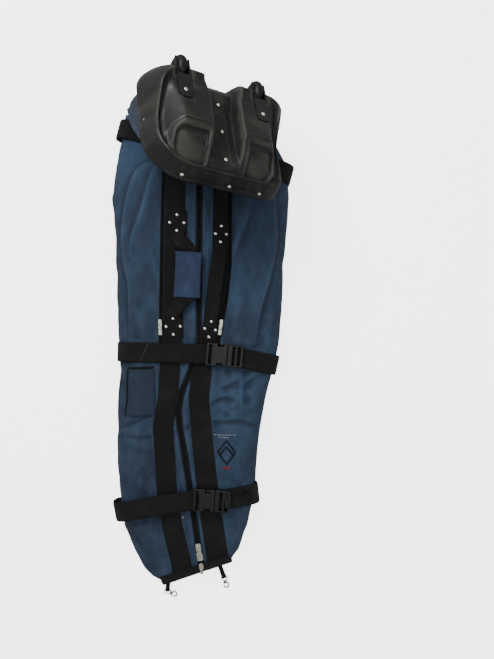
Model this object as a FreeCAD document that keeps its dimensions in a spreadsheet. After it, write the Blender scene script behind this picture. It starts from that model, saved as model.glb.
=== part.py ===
import FreeCAD, Part
import math
import os

Vector = FreeCAD.Vector
Placement = FreeCAD.Placement
Rotation = FreeCAD.Rotation
X_AXIS, Y_AXIS, Z_AXIS = Vector(1, 0, 0), Vector(0, 1, 0), Vector(0, 0, 1)

doc = FreeCAD.newDocument("travel_bag")

# ---------------------------------------------------------------- driving dimensions
# The bag lies on its back panel: +Z is up out of its zipped front, +Y points at its wheeled
# end and +X across it. Everything is in millimetres.

DIMENSIONS = {
    "back_thickness": 20, "foam_thickness": 9, "soft_gap": 0.3,
    "webbing_width": 50, "webbing_thickness": 2, "zip_width": 14, "pocket_zip_width": 9,
    "strap_width": 50, "strap_thickness": 2.2,
    "buckle_width": 58, "buckle_height": 13, "socket_length": 54, "clip_length": 40,
    "prong_length": 26, "patch_length": 60, "rivet_radius": 4.2, "rivet_dome": 2.4, "rivet_shank": 2,
    "grip_width": 36, "grip_thickness": 4, "wrap_length": 116, "wrap_width": 62, "wrap_thickness": 11,
    "slider_length": 24, "slider_width": 15, "slider_height": 7.5, "pull_length": 34, "pull_width": 13,
    "pull_thickness": 2, "small_slider": 15, "small_pull": 26,
    "base_half_width": 168, "base_front": 165, "base_back": 125, "ridge_height": 45, "base_depth": 95,
    "shell_wall": 4, "valley_half_width": 35, "valley_depth": 35, "recess_depth": 14,
    "wheel_radius": 30, "wheel_width": 22, "wheel_offset": 97, "axle_back": 79, "axle_height": 75,
    "axle_radius": 3.98, "bearing_bore": 4.05, "bearing_radius": 11, "bearing_width": 7,
    "hub_radius": 16, "bracket_width": 34, "ear_thickness": 4,
    "hook_wire": 1.9, "hook_bend": 6, "hook_eye": 7.6, "loop_width": 10, "loop_length": 26,
}

sheet = doc.addObject("Spreadsheet::Sheet", "Dimensions")
for row, (alias, value) in enumerate(DIMENSIONS.items(), start=1):
    sheet.set(f"A{row}", alias)
    sheet.set(f"B{row}", str(value))
    sheet.setAlias(f"B{row}", alias)
doc.recompute()


def size(alias):
    """The value of a named cell."""
    return float(sheet.get(alias))


def bind(feature, prop, expression):
    """Ties a property to the sheet: words in the expression that are aliases become cell names."""
    for alias in sorted(DIMENSIONS, key=len, reverse=True):
        expression = expression.replace("[" + alias + "]", "Dimensions." + alias)
    feature.setExpression(prop, expression)


# ---------------------------------------------------------------- shape of the collapsed bag
# Stations from foot to wheeled end: distance along, left side, right side, thickness.

STATIONS = [
    (-634, -112, -60, 36.3), (-600, -148, 24, 38.6), (-579, -160, 76, 40), (-553, -173, 97, 41.8),
    (-490, -198, 118, 46.1), (-409, -209, 138, 51.6), (-285, -218, 147, 60), (-162, -214, 166, 63),
    (-80, -206, 185, 65), (-18, -211, 200, 66), (64, -217, 208, 68), (270, -222, 220, 72),
    (352, -232, 226, 70), (434, -220, 220, 66), (478, -208, 203, 63), (499, -206, 150, 60),
    (520, -204, 66, 57), (545, -200, -34, 54), (566, -195, -118, 50),
]


def along(y, column):
    """A station column, straight between stations."""
    for low, high in zip(STATIONS, STATIONS[1:]):
        if y <= high[0]:
            share = max(0, (y - low[0]) / (high[0] - low[0]))
            return low[column] + share * (high[column] - low[column])
    return STATIONS[-1][column]


def top(y):
    """Height of the bag's front face."""
    return along(y, 3)


def slope(y):
    """Tilt of the front face along the bag, in degrees."""
    return math.degrees(math.atan2(top(y + 5) - top(y - 5), 10))


# puts the middle of the finished bag's footprint at the origin
CENTRE = Placement(Vector(-1.47, 31.14, 0), Rotation())

# ---------------------------------------------------------------- makers

parts = []


def keep(obj, label=None):
    """Marks an object as a sub-part to write out."""
    if label:
        obj.Label = label
    parts.append(obj)
    return obj


def new_body(label, placement=None):
    body = doc.addObject("PartDesign::Body", label)
    body.Label = label
    if placement:
        body.Placement = placement
    return body


def origin_plane(body, role):
    return next(f for f in body.Origin.OriginFeatures if f.Role == role)


def sketch(body, role, shapes, offset=None):
    """A sketch on one of the body's origin planes, from closed runs of edges."""
    made = body.newObject("Sketcher::SketchObject", body.Label + "_sketch")
    made.AttachmentSupport = [(origin_plane(body, role), "")]
    made.MapMode = "FlatFace"
    if offset:
        made.AttachmentOffset = offset
    made.addGeometry([e for shape in shapes for e in shape], False)
    return made


def polygon(points):
    """Closed run of straight edges."""
    corners = [Vector(*p, 0) if len(p) == 2 else Vector(*p) for p in points]
    return [Part.LineSegment(a, b) for a, b in zip(corners, corners[1:] + corners[:1])]


def rounded(x0, y0, x1, y1, radii):
    """Rectangle with a radius at each corner: lower left, lower right, upper right, upper left."""
    corners = [(x0, y0, 1, 1), (x1, y0, -1, 1), (x1, y1, -1, -1), (x0, y1, 1, -1)]
    starts = [180, 270, 0, 90]
    arcs = []
    for (cx, cy, sx, sy), start, r in zip(corners, starts, radii):
        circle = Part.Circle(Vector(cx + sx * r, cy + sy * r, 0), Z_AXIS, r)
        arcs.append(Part.ArcOfCircle(circle, math.radians(start), math.radians(start + 90)))
    edges = []
    for arc, after in zip(arcs, arcs[1:] + arcs[:1]):
        edges.append(arc)
        edges.append(Part.LineSegment(arc.EndPoint, after.StartPoint))
    return edges


def circle(x, y, r):
    return [Part.Circle(Vector(x, y, 0), Z_AXIS, r)]


def pad(body, profile, length, midplane=False, taper=0):
    made = body.newObject("PartDesign::Pad", body.Label + "_pad")
    made.Profile = profile
    bind(made, "Length", length)
    made.Midplane = midplane
    if taper:
        made.TaperAngle = taper
    body.Tip = made
    doc.recompute()
    return made


def pocket(body, profile, length, reverse=False, midplane=False):
    """A pocket that has to take something away."""
    doc.recompute()
    before = body.Shape.Volume
    made = body.newObject("PartDesign::Pocket", body.Label + "_pocket")
    made.Profile = profile
    bind(made, "Length", length)
    made.Reversed = reverse
    made.Midplane = midplane
    body.Tip = made
    doc.recompute()
    if body.Shape.Volume > before - 1e-3:
        raise RuntimeError(f"{body.Label}: a pocket cuts nothing")
    return made


def fillet(body, pick, radius):
    """Rounds the tip's edges for which pick(edge) holds."""
    tip = body.Tip
    names = [f"Edge{i + 1}" for i, e in enumerate(tip.Shape.Edges) if pick(e)]
    made = body.newObject("PartDesign::Fillet", body.Label + "_fillet")
    made.Base = (tip, names)
    made.Radius = radius
    body.Tip = made
    doc.recompute()
    return made


def loft(body, sections, kind="AdditiveLoft"):
    made = body.newObject("PartDesign::" + kind, body.Label + "_loft")
    made.Profile = sections[0]
    made.Sections = sections[1:]
    made.Ruled = True
    body.Tip = made
    doc.recompute()
    return made


def revolve(body, profile, axis="V_Axis"):
    made = body.newObject("PartDesign::Revolution", body.Label + "_revolution")
    made.Profile = profile
    made.ReferenceAxis = (profile, [axis])
    made.Angle = 360
    body.Tip = made
    doc.recompute()
    return made


def pipe(body, profile, spine, subtractive=False):
    made = body.newObject("PartDesign::" + ("Subtractive" if subtractive else "Additive") + "Pipe",
                          body.Label + "_pipe")
    made.Profile = profile
    made.Spine = spine
    body.Tip = made
    doc.recompute()
    return made


def boolean(kind, label, base, tool):
    made = doc.addObject("Part::" + kind, label)
    made.Label = label
    made.Base = base
    made.Tool = tool
    doc.recompute()
    return made


def gather(label, members):
    """Several separate solids as one sub-part."""
    made = doc.addObject("Part::Compound", label)
    made.Label = label
    made.Links = members
    doc.recompute()
    return keep(made)


def on_front(x, y, lift=0, turn=0):
    """Placement on the bag's front face at x, y: tilted with the face, then turned about its normal."""
    tilt = Rotation(X_AXIS, slope(y))
    return Placement(Vector(x, y, top(y)), tilt.multiply(Rotation(Z_AXIS, turn))).multiply(
        Placement(Vector(0, 0, lift), Rotation()))


# ---------------------------------------------------------------- padded fabric body

def bag_section(station, under=0.4):
    """Stadium: flat below and above, half round at both sides. It dips a little under the floor, so
    that the back panel's level cut leaves a true plane."""
    y, left, right, thick = station
    r = (thick + under) / 2
    level, low, high = r - under, left + r, right - r
    side_a = Part.ArcOfCircle(Part.Circle(Vector(low, level, 0), Z_AXIS, r), math.pi / 2, 1.5 * math.pi)
    side_b = Part.ArcOfCircle(Part.Circle(Vector(high, level, 0), Z_AXIS, r), -math.pi / 2, math.pi / 2)
    return [side_a, Part.LineSegment(side_a.EndPoint, side_b.StartPoint), side_b,
            Part.LineSegment(side_b.EndPoint, side_a.StartPoint)]


def bag_loft(label, stations):
    """The stadium sections joined in order."""
    body = new_body(label)
    loft(body, [sketch(body, "XZ_Plane", [bag_section(s)], Placement(Vector(0, 0, -s[0]), Rotation()))
                for s in stations])
    return body


form = bag_loft("bag_form", STATIONS)


def slab(label, low, high):
    """Wide level slab between two heights."""
    body = new_body(label)
    outline = polygon([(-400, -800), (400, -800), (400, 800), (-400, 800)])
    pad(body, sketch(body, "XY_Plane", [outline], Placement(Vector(0, 0, low), Rotation())), str(high - low))
    return body


# the padded back, the foam inside and the two halves of the front
back_top = size("back_thickness")
gap = size("soft_gap")
foam_top = back_top + gap + size("foam_thickness")
keep(boolean("Common", "back_panel", form, slab("back_slab", 0, back_top)))

FOAM = [(-130, -520), (60, -520), (100, -285), (130, -80), (150, 64), (165, 420), (-150, 420), (-165, 270),
        (-160, -285)]
foam = new_body("foam_insert")
pad(foam, sketch(foam, "XY_Plane", [polygon(FOAM)], Placement(Vector(0, 0, back_top + gap), Rotation())),
    "[foam_thickness]")
keep(foam)

foam_room = new_body("foam_room")
pad(foam_room, sketch(foam_room, "XY_Plane", [polygon([(x * 1.004, y * 1.002) for x, y in FOAM])]),
    str(foam_top + gap))
front_form = boolean("Cut", "front_form", boolean("Common", "front_block", form, slab(
    "front_slab", back_top + gap, 200)), foam_room)

# the zipper wanders between the two halves of the front, straight over its lowest stretch
ZIP_LINE = [(-2, 480), (-2, 359), (-4, 88), (-3, -13), (-25, -90), (-48, -141), (-56, -185), (-53, -231),
            (-42, -287), (-3, -563), (2, -600)]


def beside(line, shift):
    """A line moved sideways by shift."""
    moved = []
    for i, (x, y) in enumerate(line):
        (x0, y0), (x1, y1) = line[max(i - 1, 0)], line[min(i + 1, len(line) - 1)]
        run = math.hypot(x1 - x0, y1 - y0)
        moved.append((x - shift * (y1 - y0) / run, y + shift * (x1 - x0) / run))
    return moved


def strip(line, width):
    """Outline of a band of that width along a line."""
    return polygon(beside(line, width / 2) + beside(line, -width / 2)[::-1])


def widening(line, narrow, wide, knee):
    """Outline of a band that is narrow above the knee and wide below it."""
    split = next(i for i, (x, y) in enumerate(line) if y < knee)
    sides = [beside(line, s * narrow / 2)[:split] + beside(line, s * wide / 2)[split:] for s in (1, -1)]
    return polygon(sides[0] + sides[1][::-1])


half = size("zip_width") / 2 + gap
left_edge, right_edge = beside(ZIP_LINE, -half), beside(ZIP_LINE, half)
for label, edge, far in (("front_panel_left", left_edge, -300), ("front_panel_right", right_edge, 300)):
    region = new_body(label + "_region")
    run = [(edge[0][0], 700)] + edge + [(edge[-1][0], -700), (far, -700), (far, 700)]
    pad(region, sketch(region, "XY_Plane", [polygon(run)]), "200")
    keep(boolean("Common", label, front_form, region))


# ---------------------------------------------------------------- flat pieces that lie on the front face

def skin(label, low, high):
    """A thin layer parallel to the front face, from low to high above it."""
    body = new_body(label + "_skin")
    lower = [(s[0], s[3] + low) for s in STATIONS]
    upper = [(s[0], s[3] + high) for s in STATIONS[::-1]]
    profile = sketch(body, "YZ_Plane", [polygon(lower + upper)])
    pad(body, profile, "800", midplane=True)
    return body


def flat_piece(label, outline, low, high):
    """What the outline cuts from a layer of the front face."""
    plan = new_body(label + "_plan")
    pad(plan, sketch(plan, "XY_Plane", [outline]), "200")
    return keep(boolean("Common", label, plan, skin(label, low, high)))


web_high = gap + size("webbing_thickness")
WEB_LEFT = [(-61, 470), (-62, 362), (-69.5, 0), (-76, -68), (-82, -158), (-95, -231), (-91, -290), (-85, -405),
            (-72, -490), (-56, -560), (-52, -590)]
WEB_RIGHT = [(53, 450), (52, 332), (50, 180), (40, 88), (21, -13), (5, -68), (-4, -158), (2, -231), (14, -360),
             (28, -470), (41, -560), (42, -575)]
flat_piece("webbing_left", strip(WEB_LEFT, size("webbing_width")), gap, web_high)
flat_piece("webbing_right", widening(WEB_RIGHT, 38, size("webbing_width"), -60), gap, web_high)
flat_piece("main_zip", strip(ZIP_LINE, size("zip_width")), -5, 0)
POCKET_LEFT = [(-93, 380), (-100.5, 0)]
POCKET_RIGHT = [(76, 380), (75.5, 180), (66, 88), (48.5, 0)]
flat_piece("pocket_zip_left", strip(POCKET_LEFT, size("pocket_zip_width")), gap, gap + 1.6)
flat_piece("pocket_zip_right", strip(POCKET_RIGHT, size("pocket_zip_width")), gap, gap + 1.6)
flat_piece("id_pocket", rounded(-182, -203, -117, -80, [3, 3, 3, 3]), gap, web_high)
flat_piece("emblem_patch", rounded(38, -330, 99, -259, [6, 6, 6, 6]), gap, gap + 0.8)

# black binding along the slanted foot
band = new_body("band_block", Placement(Vector(-8, -606, 8), Rotation(Z_AXIS, 22)).multiply(
    Placement(Vector(0, -4.5, 0), Rotation())))
pad(band, sketch(band, "XY_Plane", [rounded(-88, -7, 88, 0, [2, 2, 2, 2])]), "24")
foot_room = bag_loft("foot_room", [(y - gap, left - gap, right + gap, thick + gap)
                                   for y, left, right, thick in STATIONS[:5]])
band = boolean("Cut", "band_fitted", band, foot_room)


# ---------------------------------------------------------------- compression straps

def strap(label, anchor, end, side_gap, end_height):
    """Webbing from the bag's side at anchor, round the side and over the front to end.
    Its profile is an arc round the side and a straight run; the strap's width is across that."""
    thick = top(anchor[1])
    r = thick / 2 + side_gap
    t = size("strap_thickness")
    dx, dy = end[0] - anchor[0], end[1] - anchor[1]
    length = math.hypot(dx, dy)
    start = math.radians(205)
    inner = Part.ArcOfCircle(Part.Circle(Vector(r, thick / 2, 0), Z_AXIS, r), math.pi / 2, start)
    outer = Part.ArcOfCircle(Part.Circle(Vector(r, thick / 2, 0), Z_AXIS, r + t), math.pi / 2, start)
    a, b = Vector(length, end_height, 0), Vector(length, end_height + t, 0)
    edges = [inner, Part.LineSegment(inner.EndPoint, outer.EndPoint), outer,
             Part.LineSegment(outer.StartPoint, b), Part.LineSegment(b, a),
             Part.LineSegment(a, inner.StartPoint)]
    turn = math.degrees(math.atan2(dy, dx))
    body = new_body(label, Placement(Vector(anchor[0], anchor[1], 0), Rotation(Z_AXIS, turn)))
    pad(body, sketch(body, "XZ_Plane", [edges]), "[strap_width]", midplane=True)
    return keep(body)


def buckle(name, x, y, lift, turn):
    """Side-release buckle on the front face: its socket, and the clip whose prongs are inside it.
    Local x runs from the socket to the clip."""
    place = on_front(x, y, lift, turn)
    w, high = size("buckle_width"), size("buckle_height")
    ls, lc = size("socket_length"), size("clip_length")
    socket = new_body(name + "_socket", place)
    outline = rounded(-ls, -w / 2, 0, w / 2, [7, 4, 4, 7])
    pad(socket, sketch(socket, "XY_Plane", [outline]), "[buckle_height]")
    fillet(socket, lambda e: e.BoundBox.ZLength < 0.01 and e.BoundBox.ZMin > high - 0.01, 2.5)
    slot = rounded(-ls + 7, -w / 2 + 4, -ls + 16, w / 2 - 4, [2, 2, 2, 2])
    pocket(socket, sketch(socket, "XY_Plane", [slot]), "[buckle_height]", reverse=True)
    mouth = rounded(-32, -w / 2 + 8, 1, w / 2 - 8, [2, 0.5, 0.5, 2])
    level = Placement(Vector(0, 0, 3), Rotation())
    pocket(socket, sketch(socket, "XY_Plane", [mouth], level), "[buckle_height] - 6", reverse=True)
    for side in (-1, 1):
        window = rounded(-26, side * (w / 2 - 4.5) - 5, -9, side * (w / 2 - 4.5) + 5, [3, 3, 3, 3])
        pocket(socket, sketch(socket, "XY_Plane", [window]), "[buckle_height]", reverse=True)
    keep(socket)

    clip = new_body(name + "_clip", place)
    frame = rounded(0.5, -w / 2 + 1, lc, w / 2 - 1, [3, 6, 6, 3])
    lifted = Placement(Vector(0, 0, 1), Rotation())
    pad(clip, sketch(clip, "XY_Plane", [frame], lifted), "[buckle_height] - 2")
    fillet(clip, lambda e: e.BoundBox.ZLength < 0.01 and e.BoundBox.ZMin > high - 1.01, 2)
    for low, far in ((lc - 15, lc - 6), (lc - 28, lc - 20)):
        slot = rounded(low, -w / 2 + 5, far, w / 2 - 5, [2, 2, 2, 2])
        pocket(clip, sketch(clip, "XY_Plane", [slot], lifted), "[buckle_height]", reverse=True)
    tongues = [rounded(-26, s * 16 - 3.5, 4, s * 16 + 3.5, [3, 1, 1, 3]) for s in (-1, 1)]
    tongues.append(rounded(-20, -3, 4, 3, [2, 1, 1, 2]))
    level = Placement(Vector(0, 0, 4), Rotation())
    pad(clip, sketch(clip, "XY_Plane", tongues, level), "[buckle_height] - 8")
    keep(clip)


def buckle_point(x, y, turn, distance):
    """Point on the buckle's own centre line."""
    a = math.radians(turn)
    return (x + distance * math.cos(a), y + distance * math.sin(a))


# name, meeting line of socket and clip, lift, turn, left anchor, right anchor, side gaps
STRAPS = [
    ("mid", (68, -49), 4, -5, (-206, -40), (188, -76), 4.5, 4.5),
    ("low", (36, -412), 16, -4, (-206, -450), (140, -402), 14, 4),
    ("top", (30, 463), 4, -17.5, (-206, 530), (222, 408), 4.5, 6.5),
]
for name, (x, y), lift, turn, left, right, left_gap, right_gap in STRAPS:
    buckle(name, x, y, lift, turn)
    # the strap's square end meets the socket at an angle, so it stops short by its corner's reach
    lean = math.radians(turn) - math.atan2(y - left[1], x - left[0])
    corner = size("strap_width") / 2 * abs(math.tan(lean))
    heel = buckle_point(x, y, turn, -size("socket_length") - 2 - corner)
    toe = buckle_point(x, y, turn, size("clip_length") + 7)
    level = top(y) + lift + 4
    left_start = (left[0] - left_gap - size("strap_thickness"), left[1])
    right_start = (right[0] + right_gap + size("strap_thickness"), right[1])
    strap(name + "_strap", left_start, heel, left_gap, level)
    strap(name + "_strap_tail", right_start, toe, right_gap, level)

keeper = new_body("low_keeper", on_front(118, -401, 9, -4))
pad(keeper, sketch(keeper, "XZ_Plane", [rounded(-3, 0, 3, 13, [1, 1, 1, 1])]), "14", midplane=True)
keep(keeper)


# ---------------------------------------------------------------- carry handles

def dome(label, place, radius, height, shank):
    """Rivet head: a shallow dome with a short shank under it."""
    body = new_body(label, place)
    crown = Vector(radius * 0.12, height, 0)
    rise = Part.Arc(Vector(radius, 0, 0), Vector(radius * 0.74, height * 0.7, 0), crown)
    below = [crown, Vector(0, height, 0), Vector(0, -shank, 0), Vector(radius / 2, -shank, 0),
             Vector(radius / 2, 0, 0), Vector(radius, 0, 0)]
    run = [rise] + [Part.LineSegment(a, b) for a, b in zip(below, below[1:])]
    profile = sketch(body, "XZ_Plane", [run])
    revolve(body, profile)
    return body


def drilled(label, base, tools):
    """A solid with the room for its rivets cut out of it."""
    room = doc.addObject("Part::Compound", label + "_room")
    room.Label = label + "_room"
    room.Links = tools
    doc.recompute()
    return boolean("Cut", label, base, room)


PATCHES = [(-58, 284, -1, 50), (-68, 24, 1, 50), (52.5, 256, -3, 38), (25, 17, -9, 38)]
patch_low = web_high + gap
patches, rivets = [], []
for i, (x, y, turn, width) in enumerate(PATCHES):
    place = on_front(x, y, patch_low, turn)
    patch = new_body(f"patch_block_{i}", place)
    length = size("patch_length")
    outline = rounded(-width / 2, -length / 2, width / 2, length / 2, [1, 1, 1, 1])
    pad(patch, sketch(patch, "XY_Plane", [outline]), "[webbing_thickness]")
    for k in range(4):
        a = k * math.pi / 2
        spot = Placement(Vector(0.36 * width * math.cos(a), 20 * math.sin(a), size("webbing_thickness")), Rotation())
        rivets.append(dome(f"patch_rivet_{i}_{k}", place.multiply(spot), size("rivet_radius"),
                           size("rivet_dome"), size("rivet_shank") - 0.2))
    patches.append(drilled(f"patch_{i}", patch, rivets[-4:]))
gather("handle_patches", patches)
gather("handle_rivets", rivets)


def grip(label, ends, sideways, rise, lift):
    """Webbing of a handle: a shallow arch over its own length, standing off the line between its ends."""
    (x0, y0), (x1, y1) = ends
    reach = math.hypot(x1 - x0, y1 - y0)
    yaw = math.degrees(math.atan2(-(x1 - x0), y1 - y0))
    mid_y = (y0 + y1) / 2
    place = Placement(Vector((x0 + x1) / 2, mid_y, top(mid_y) + lift), Rotation(Z_AXIS, yaw).multiply(
        Rotation(X_AXIS, slope(mid_y))))
    return place, reach


# the left handle leans towards the zipper with a padded wrap round it
left_place, left_reach = grip("left", ((-68, 62), (-59, 246)), 34, 12, 8)
handle = new_body("handle_left_grip", left_place)
half_grip, half_wrap = size("grip_width") / 2, size("wrap_length") / 2
outline = rounded(34 - half_grip, -half_wrap - 14, 34 + half_grip, half_wrap + 14, [3, 3, 3, 3])
pad(handle, sketch(handle, "XY_Plane", [outline], Placement(Vector(0, 0, 9), Rotation())), "[grip_thickness]")
keep(handle)
wrap = new_body("handle_wrap", left_place)
half_width = size("wrap_width") / 2
outer = rounded(34 - half_width, 5.5, 34 + half_width, 5.5 + size("wrap_thickness"), [5, 5, 5, 5])
room = rounded(34 - half_grip - 0.4, 8.6, 34 + half_grip + 0.4, 13.4, [0.5, 0.5, 0.5, 0.5])
pad(wrap, sketch(wrap, "XZ_Plane", [outer, room]), "[wrap_length]", midplane=True)
keep(wrap)


def bight(label, start, end, width):
    """Soft end of a handle, from its patch to its grip: a straight bar of flat webbing."""
    run = end.sub(start)
    yaw, climb = math.atan2(run.y, run.x), math.atan2(run.z, math.hypot(run.x, run.y))
    body = new_body(label, Placement(start, Rotation(Z_AXIS, math.degrees(yaw)).multiply(
        Rotation(Y_AXIS, -math.degrees(climb)))))
    w = width / 2
    pad(body, sketch(body, "YZ_Plane", [rounded(-w, -1.6, w, 1.6, [1, 1, 1, 1])]), str(run.Length))
    return body


def local(place, x, y, z):
    return place.multVec(Vector(x, y, z))


bights = []
for sign, (px, py) in ((1, (-59, 250)), (-1, (-68, 58))):
    start = Vector(px, py, top(py) + patch_low + 3.5)
    end = local(left_place, 34 - half_grip - 6, sign * (half_wrap + 17), 11)
    bights.append(bight(f"left_bight_{sign + 1}", start, end, 20))
gather("handle_left_ends", bights)

# the right handle lies along its webbing as a low arch
right_place, right_reach = grip("right", ((28, 50), (51, 222)), 0, 12, 8)
handle = new_body("handle_right_grip", right_place)
h = right_reach / 2 - 22
arch_low = Part.Arc(Vector(-h, 4, 0), Vector(0, 13, 0), Vector(h, 4, 0))
arch_high = Part.Arc(Vector(-h, 8, 0), Vector(0, 17, 0), Vector(h, 8, 0))
edges = [arch_low, Part.LineSegment(arch_low.EndPoint, arch_high.EndPoint), arch_high,
         Part.LineSegment(arch_high.StartPoint, arch_low.StartPoint)]
pad(handle, sketch(handle, "YZ_Plane", [edges]), "[grip_width]", midplane=True)
keep(handle)
bights = []
for sign, (px, py) in ((1, (50.5, 224)), (-1, (29, 49))):
    start = Vector(px, py, top(py) + patch_low + 1.7)
    end = local(right_place, 0, sign * (h + 1.6), 5.5)
    bights.append(bight(f"right_bight_{sign + 1}", start, end, 30))
gather("handle_right_ends", bights)


# ---------------------------------------------------------------- zip sliders and pulls

def slider(name, x, y, lift, turn, length, width, pull_length, pull_width, pull_turn):
    """Zip slider with a bridge on top, and the pull whose eye goes under the bridge."""
    place = on_front(x, y, lift, turn)
    high = size("slider_height")
    leg, foot = length * 0.28, length * 0.18
    body = new_body(name + "_slider", place)
    outline = rounded(-width / 2, -length / 2, width / 2, length / 2, [width * 0.2] * 2 + [width * 0.45] * 2)
    pad(body, sketch(body, "XY_Plane", [outline]), "[slider_height] - 4.5")
    bridge = [(-leg, high - 5), (-leg, high), (leg, high), (leg, high - 5), (foot, high - 5),
              (foot, high - 1.2), (-foot, high - 1.2), (-foot, high - 5)]
    pad(body, sketch(body, "YZ_Plane", [polygon(bridge)]), "3", midplane=True)
    keep(body)
    swing = place.multiply(Placement(Vector(0, 0, high - 2.85), Rotation(Z_AXIS, pull_turn)))
    pull = new_body(name + "_pull", swing)
    half = pull_width / 2
    plate = polygon([(-3.4, -1.1), (3.4, -1.1), (3.4, leg + 3), (half, leg + 7), (half, pull_length - 3),
                     (half - 2, pull_length), (2 - half, pull_length), (-half, pull_length - 3), (-half, leg + 7),
                     (-3.4, leg + 3)])
    hole = rounded(-2, 1.1, 2, leg + 1.6, [0.6] * 4)
    middle = Placement(Vector(0, 0, -0.6), Rotation())
    pad(pull, sketch(pull, "XY_Plane", [plate, hole], middle), "1.2")
    keep(pull)


slider("main", -3, -563, 1.4, 8, size("slider_length"), size("slider_width"), size("pull_length"),
       size("pull_width"), 0)
slider("end", 0.5, -589, 1.4, 8, size("small_slider"), 11, 20, 8, 178)
slider("pocket_left", -100.2, 10, 2.4, 1.1, size("small_slider"), 8, size("small_pull") + 6, 8, 0)
slider("pocket_right", 49.5, 10, 2.4, -8.4, size("small_slider"), 8, size("small_pull") + 6, 8, 0)

# ---------------------------------------------------------------- foot loops and snap hooks

# name, root of the loop, height, the loop's turn, the hook's turn
HOOKS = [("left", (-88, -642), 3, 176, 72), ("right", (50, -609), 3, 200, -4)]
loops = []
wire, bend, eye, reach = size("hook_wire"), size("hook_bend"), size("hook_eye"), size("loop_length")
for name, (x, y), z, turn, hook_turn in HOOKS:
    place = Placement(Vector(x, y, z), Rotation(Z_AXIS, turn))
    loop = new_body(f"foot_loop_{name}", place)
    outer = rounded(-4, 0, reach, 10, [3, 4, 4, 3])
    inner = rounded(-2, 2, reach - 2, 8, [1.5, 2, 2, 1.5])
    pad(loop, sketch(loop, "YZ_Plane", [outer, inner]), "[loop_width]", midplane=True)
    loops.append(loop)

    # the hook's eye goes round the loop's outer bar; local y runs from the eye to the bow
    hook = new_body(f"hook_{name}", place.multiply(
        Placement(Vector(0, reach - 1, 5), Rotation(Z_AXIS, hook_turn))))
    pipe(hook, sketch(hook, "XZ_Plane", [circle(eye, 0, wire * 0.6)]), sketch(hook, "XY_Plane", [circle(0, 0, eye)]))
    stem = [(-2.4, eye - 0.3), (2.4, eye - 0.3), (1.2, eye + 6), (-bend + 2, eye + 8), (-bend - 1.4, eye + 11),
            (-bend - 1.4, eye + 7), (-2.4, eye + 4)]
    pad(hook, sketch(hook, "XY_Plane", [polygon(stem)]), "4", midplane=True)
    bow = Part.ArcOfCircle(Part.Circle(Vector(0, eye + 12, 0), Z_AXIS, bend), math.radians(-8), math.radians(190))
    end = Placement(Vector(0, 0, -bow.EndPoint.y), Rotation())
    section = sketch(hook, "XZ_Plane", [circle(bow.EndPoint.x, 0, wire)], end)
    pipe(hook, section, sketch(hook, "XY_Plane", [[bow]]))
    keep(hook)
    gate = new_body(f"hook_gate_{name}", hook.Placement)
    lever = [(3.2, eye + 1.5), (bend - 0.5, eye + 2.4), (bend + 1.4, eye + 8.4), (bend - 1.6, eye + 8.4),
             (3.2, eye + 5)]
    pad(gate, sketch(gate, "XY_Plane", [polygon(lever)]), "3.2", midplane=True)
    keep(gate)
gather("foot_loops", loops)
loop_room = []
for name, (x, y), z, turn, hook_turn in HOOKS:
    block = new_body(f"loop_room_{name}", Placement(Vector(x, y, z), Rotation(Z_AXIS, turn)))
    outline = rounded(-4 - gap, -gap, reach, 10 + gap, [3, 4, 4, 3])
    pad(block, sketch(block, "YZ_Plane", [outline]), "[loop_width] + 0.6", midplane=True)
    loop_room.append(block)
keep(drilled("end_band", band, loop_room))

# ---------------------------------------------------------------- moulded wheel base
# Its own frame: x across, y towards the wheels, z out of the tread side; the rim is at z = 0.

BASE = Placement(Vector(24, 477, 200), Rotation(Z_AXIS, -7).multiply(Rotation(Y_AXIS, 30)).multiply(
    Rotation(X_AXIS, -28)))
W, FRONT, BACK = size("base_half_width"), size("base_front"), size("base_back")
RIDGE, DEPTH, WALL = size("ridge_height"), size("base_depth"), size("shell_wall")


def base_level(body, height, outline):
    return sketch(body, "XY_Plane", [outline], Placement(Vector(0, 0, height), Rotation()))


def rim_outline(inset=0):
    return rounded(-W + inset, -FRONT + inset, W - inset, BACK - inset,
                   [95 - inset, 62 - inset, 50 - inset, 50 - inset])


def ridge_outline(inset=0):
    return rounded(-W + 17 + inset, -FRONT + 3 + inset, W - 12 - inset, BACK - 30 - inset,
                   [88 - inset, 56 - inset, 40 - inset, 40 - inset])


shell = new_body("shell_form", BASE)
loft(shell, [base_level(shell, 0, rim_outline()), base_level(shell, RIDGE, ridge_outline())])
lobe_foot = rounded(-W + 24, -FRONT + 11, W - 19, BACK - 36, [82, 50, 34, 34])
lobe_head = rounded(-W + 34, -FRONT + 24, W - 29, BACK - 70, [70, 40, 12, 12])
loft(shell, [base_level(shell, RIDGE - 1, lobe_foot), base_level(shell, DEPTH, lobe_head)])
vw = size("valley_half_width")
valley = rounded(-vw + 2, -FRONT - 40, vw + 2, BACK + 40, [3, 3, 3, 3])
pocket(shell, base_level(shell, DEPTH - size("valley_depth"), valley), "[base_depth]", reverse=True)
for radii, x0, x1 in (([34, 4, 4, 8], -116, -44), ([4, 26, 8, 4], 56, 124)):
    recess = rounded(x0, -150, x1, -88, radii)
    pocket(shell, base_level(shell, DEPTH - size("recess_depth"), recess), "[base_depth]", reverse=True)
offset, bracket_half = size("wheel_offset"), size("bracket_width") / 2
for side in (-1, 1):
    x = side * offset
    well = rounded(x - bracket_half - 0.4, 40, x + bracket_half + 0.4, BACK + 30, [2, 2, 2, 2])
    pocket(shell, base_level(shell, 38, well), "[base_depth]", reverse=True)
    tongue = rounded(x - bracket_half - 0.4, -20.4, x + bracket_half + 0.4, 44, [16, 16, 1, 1])
    pocket(shell, base_level(shell, DEPTH - 5, tongue), "[base_depth]", reverse=True)
loft(shell, [base_level(shell, -0.01, rim_outline(WALL)), base_level(shell, 34, rim_outline(16))],
     kind="SubtractiveLoft")
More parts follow.
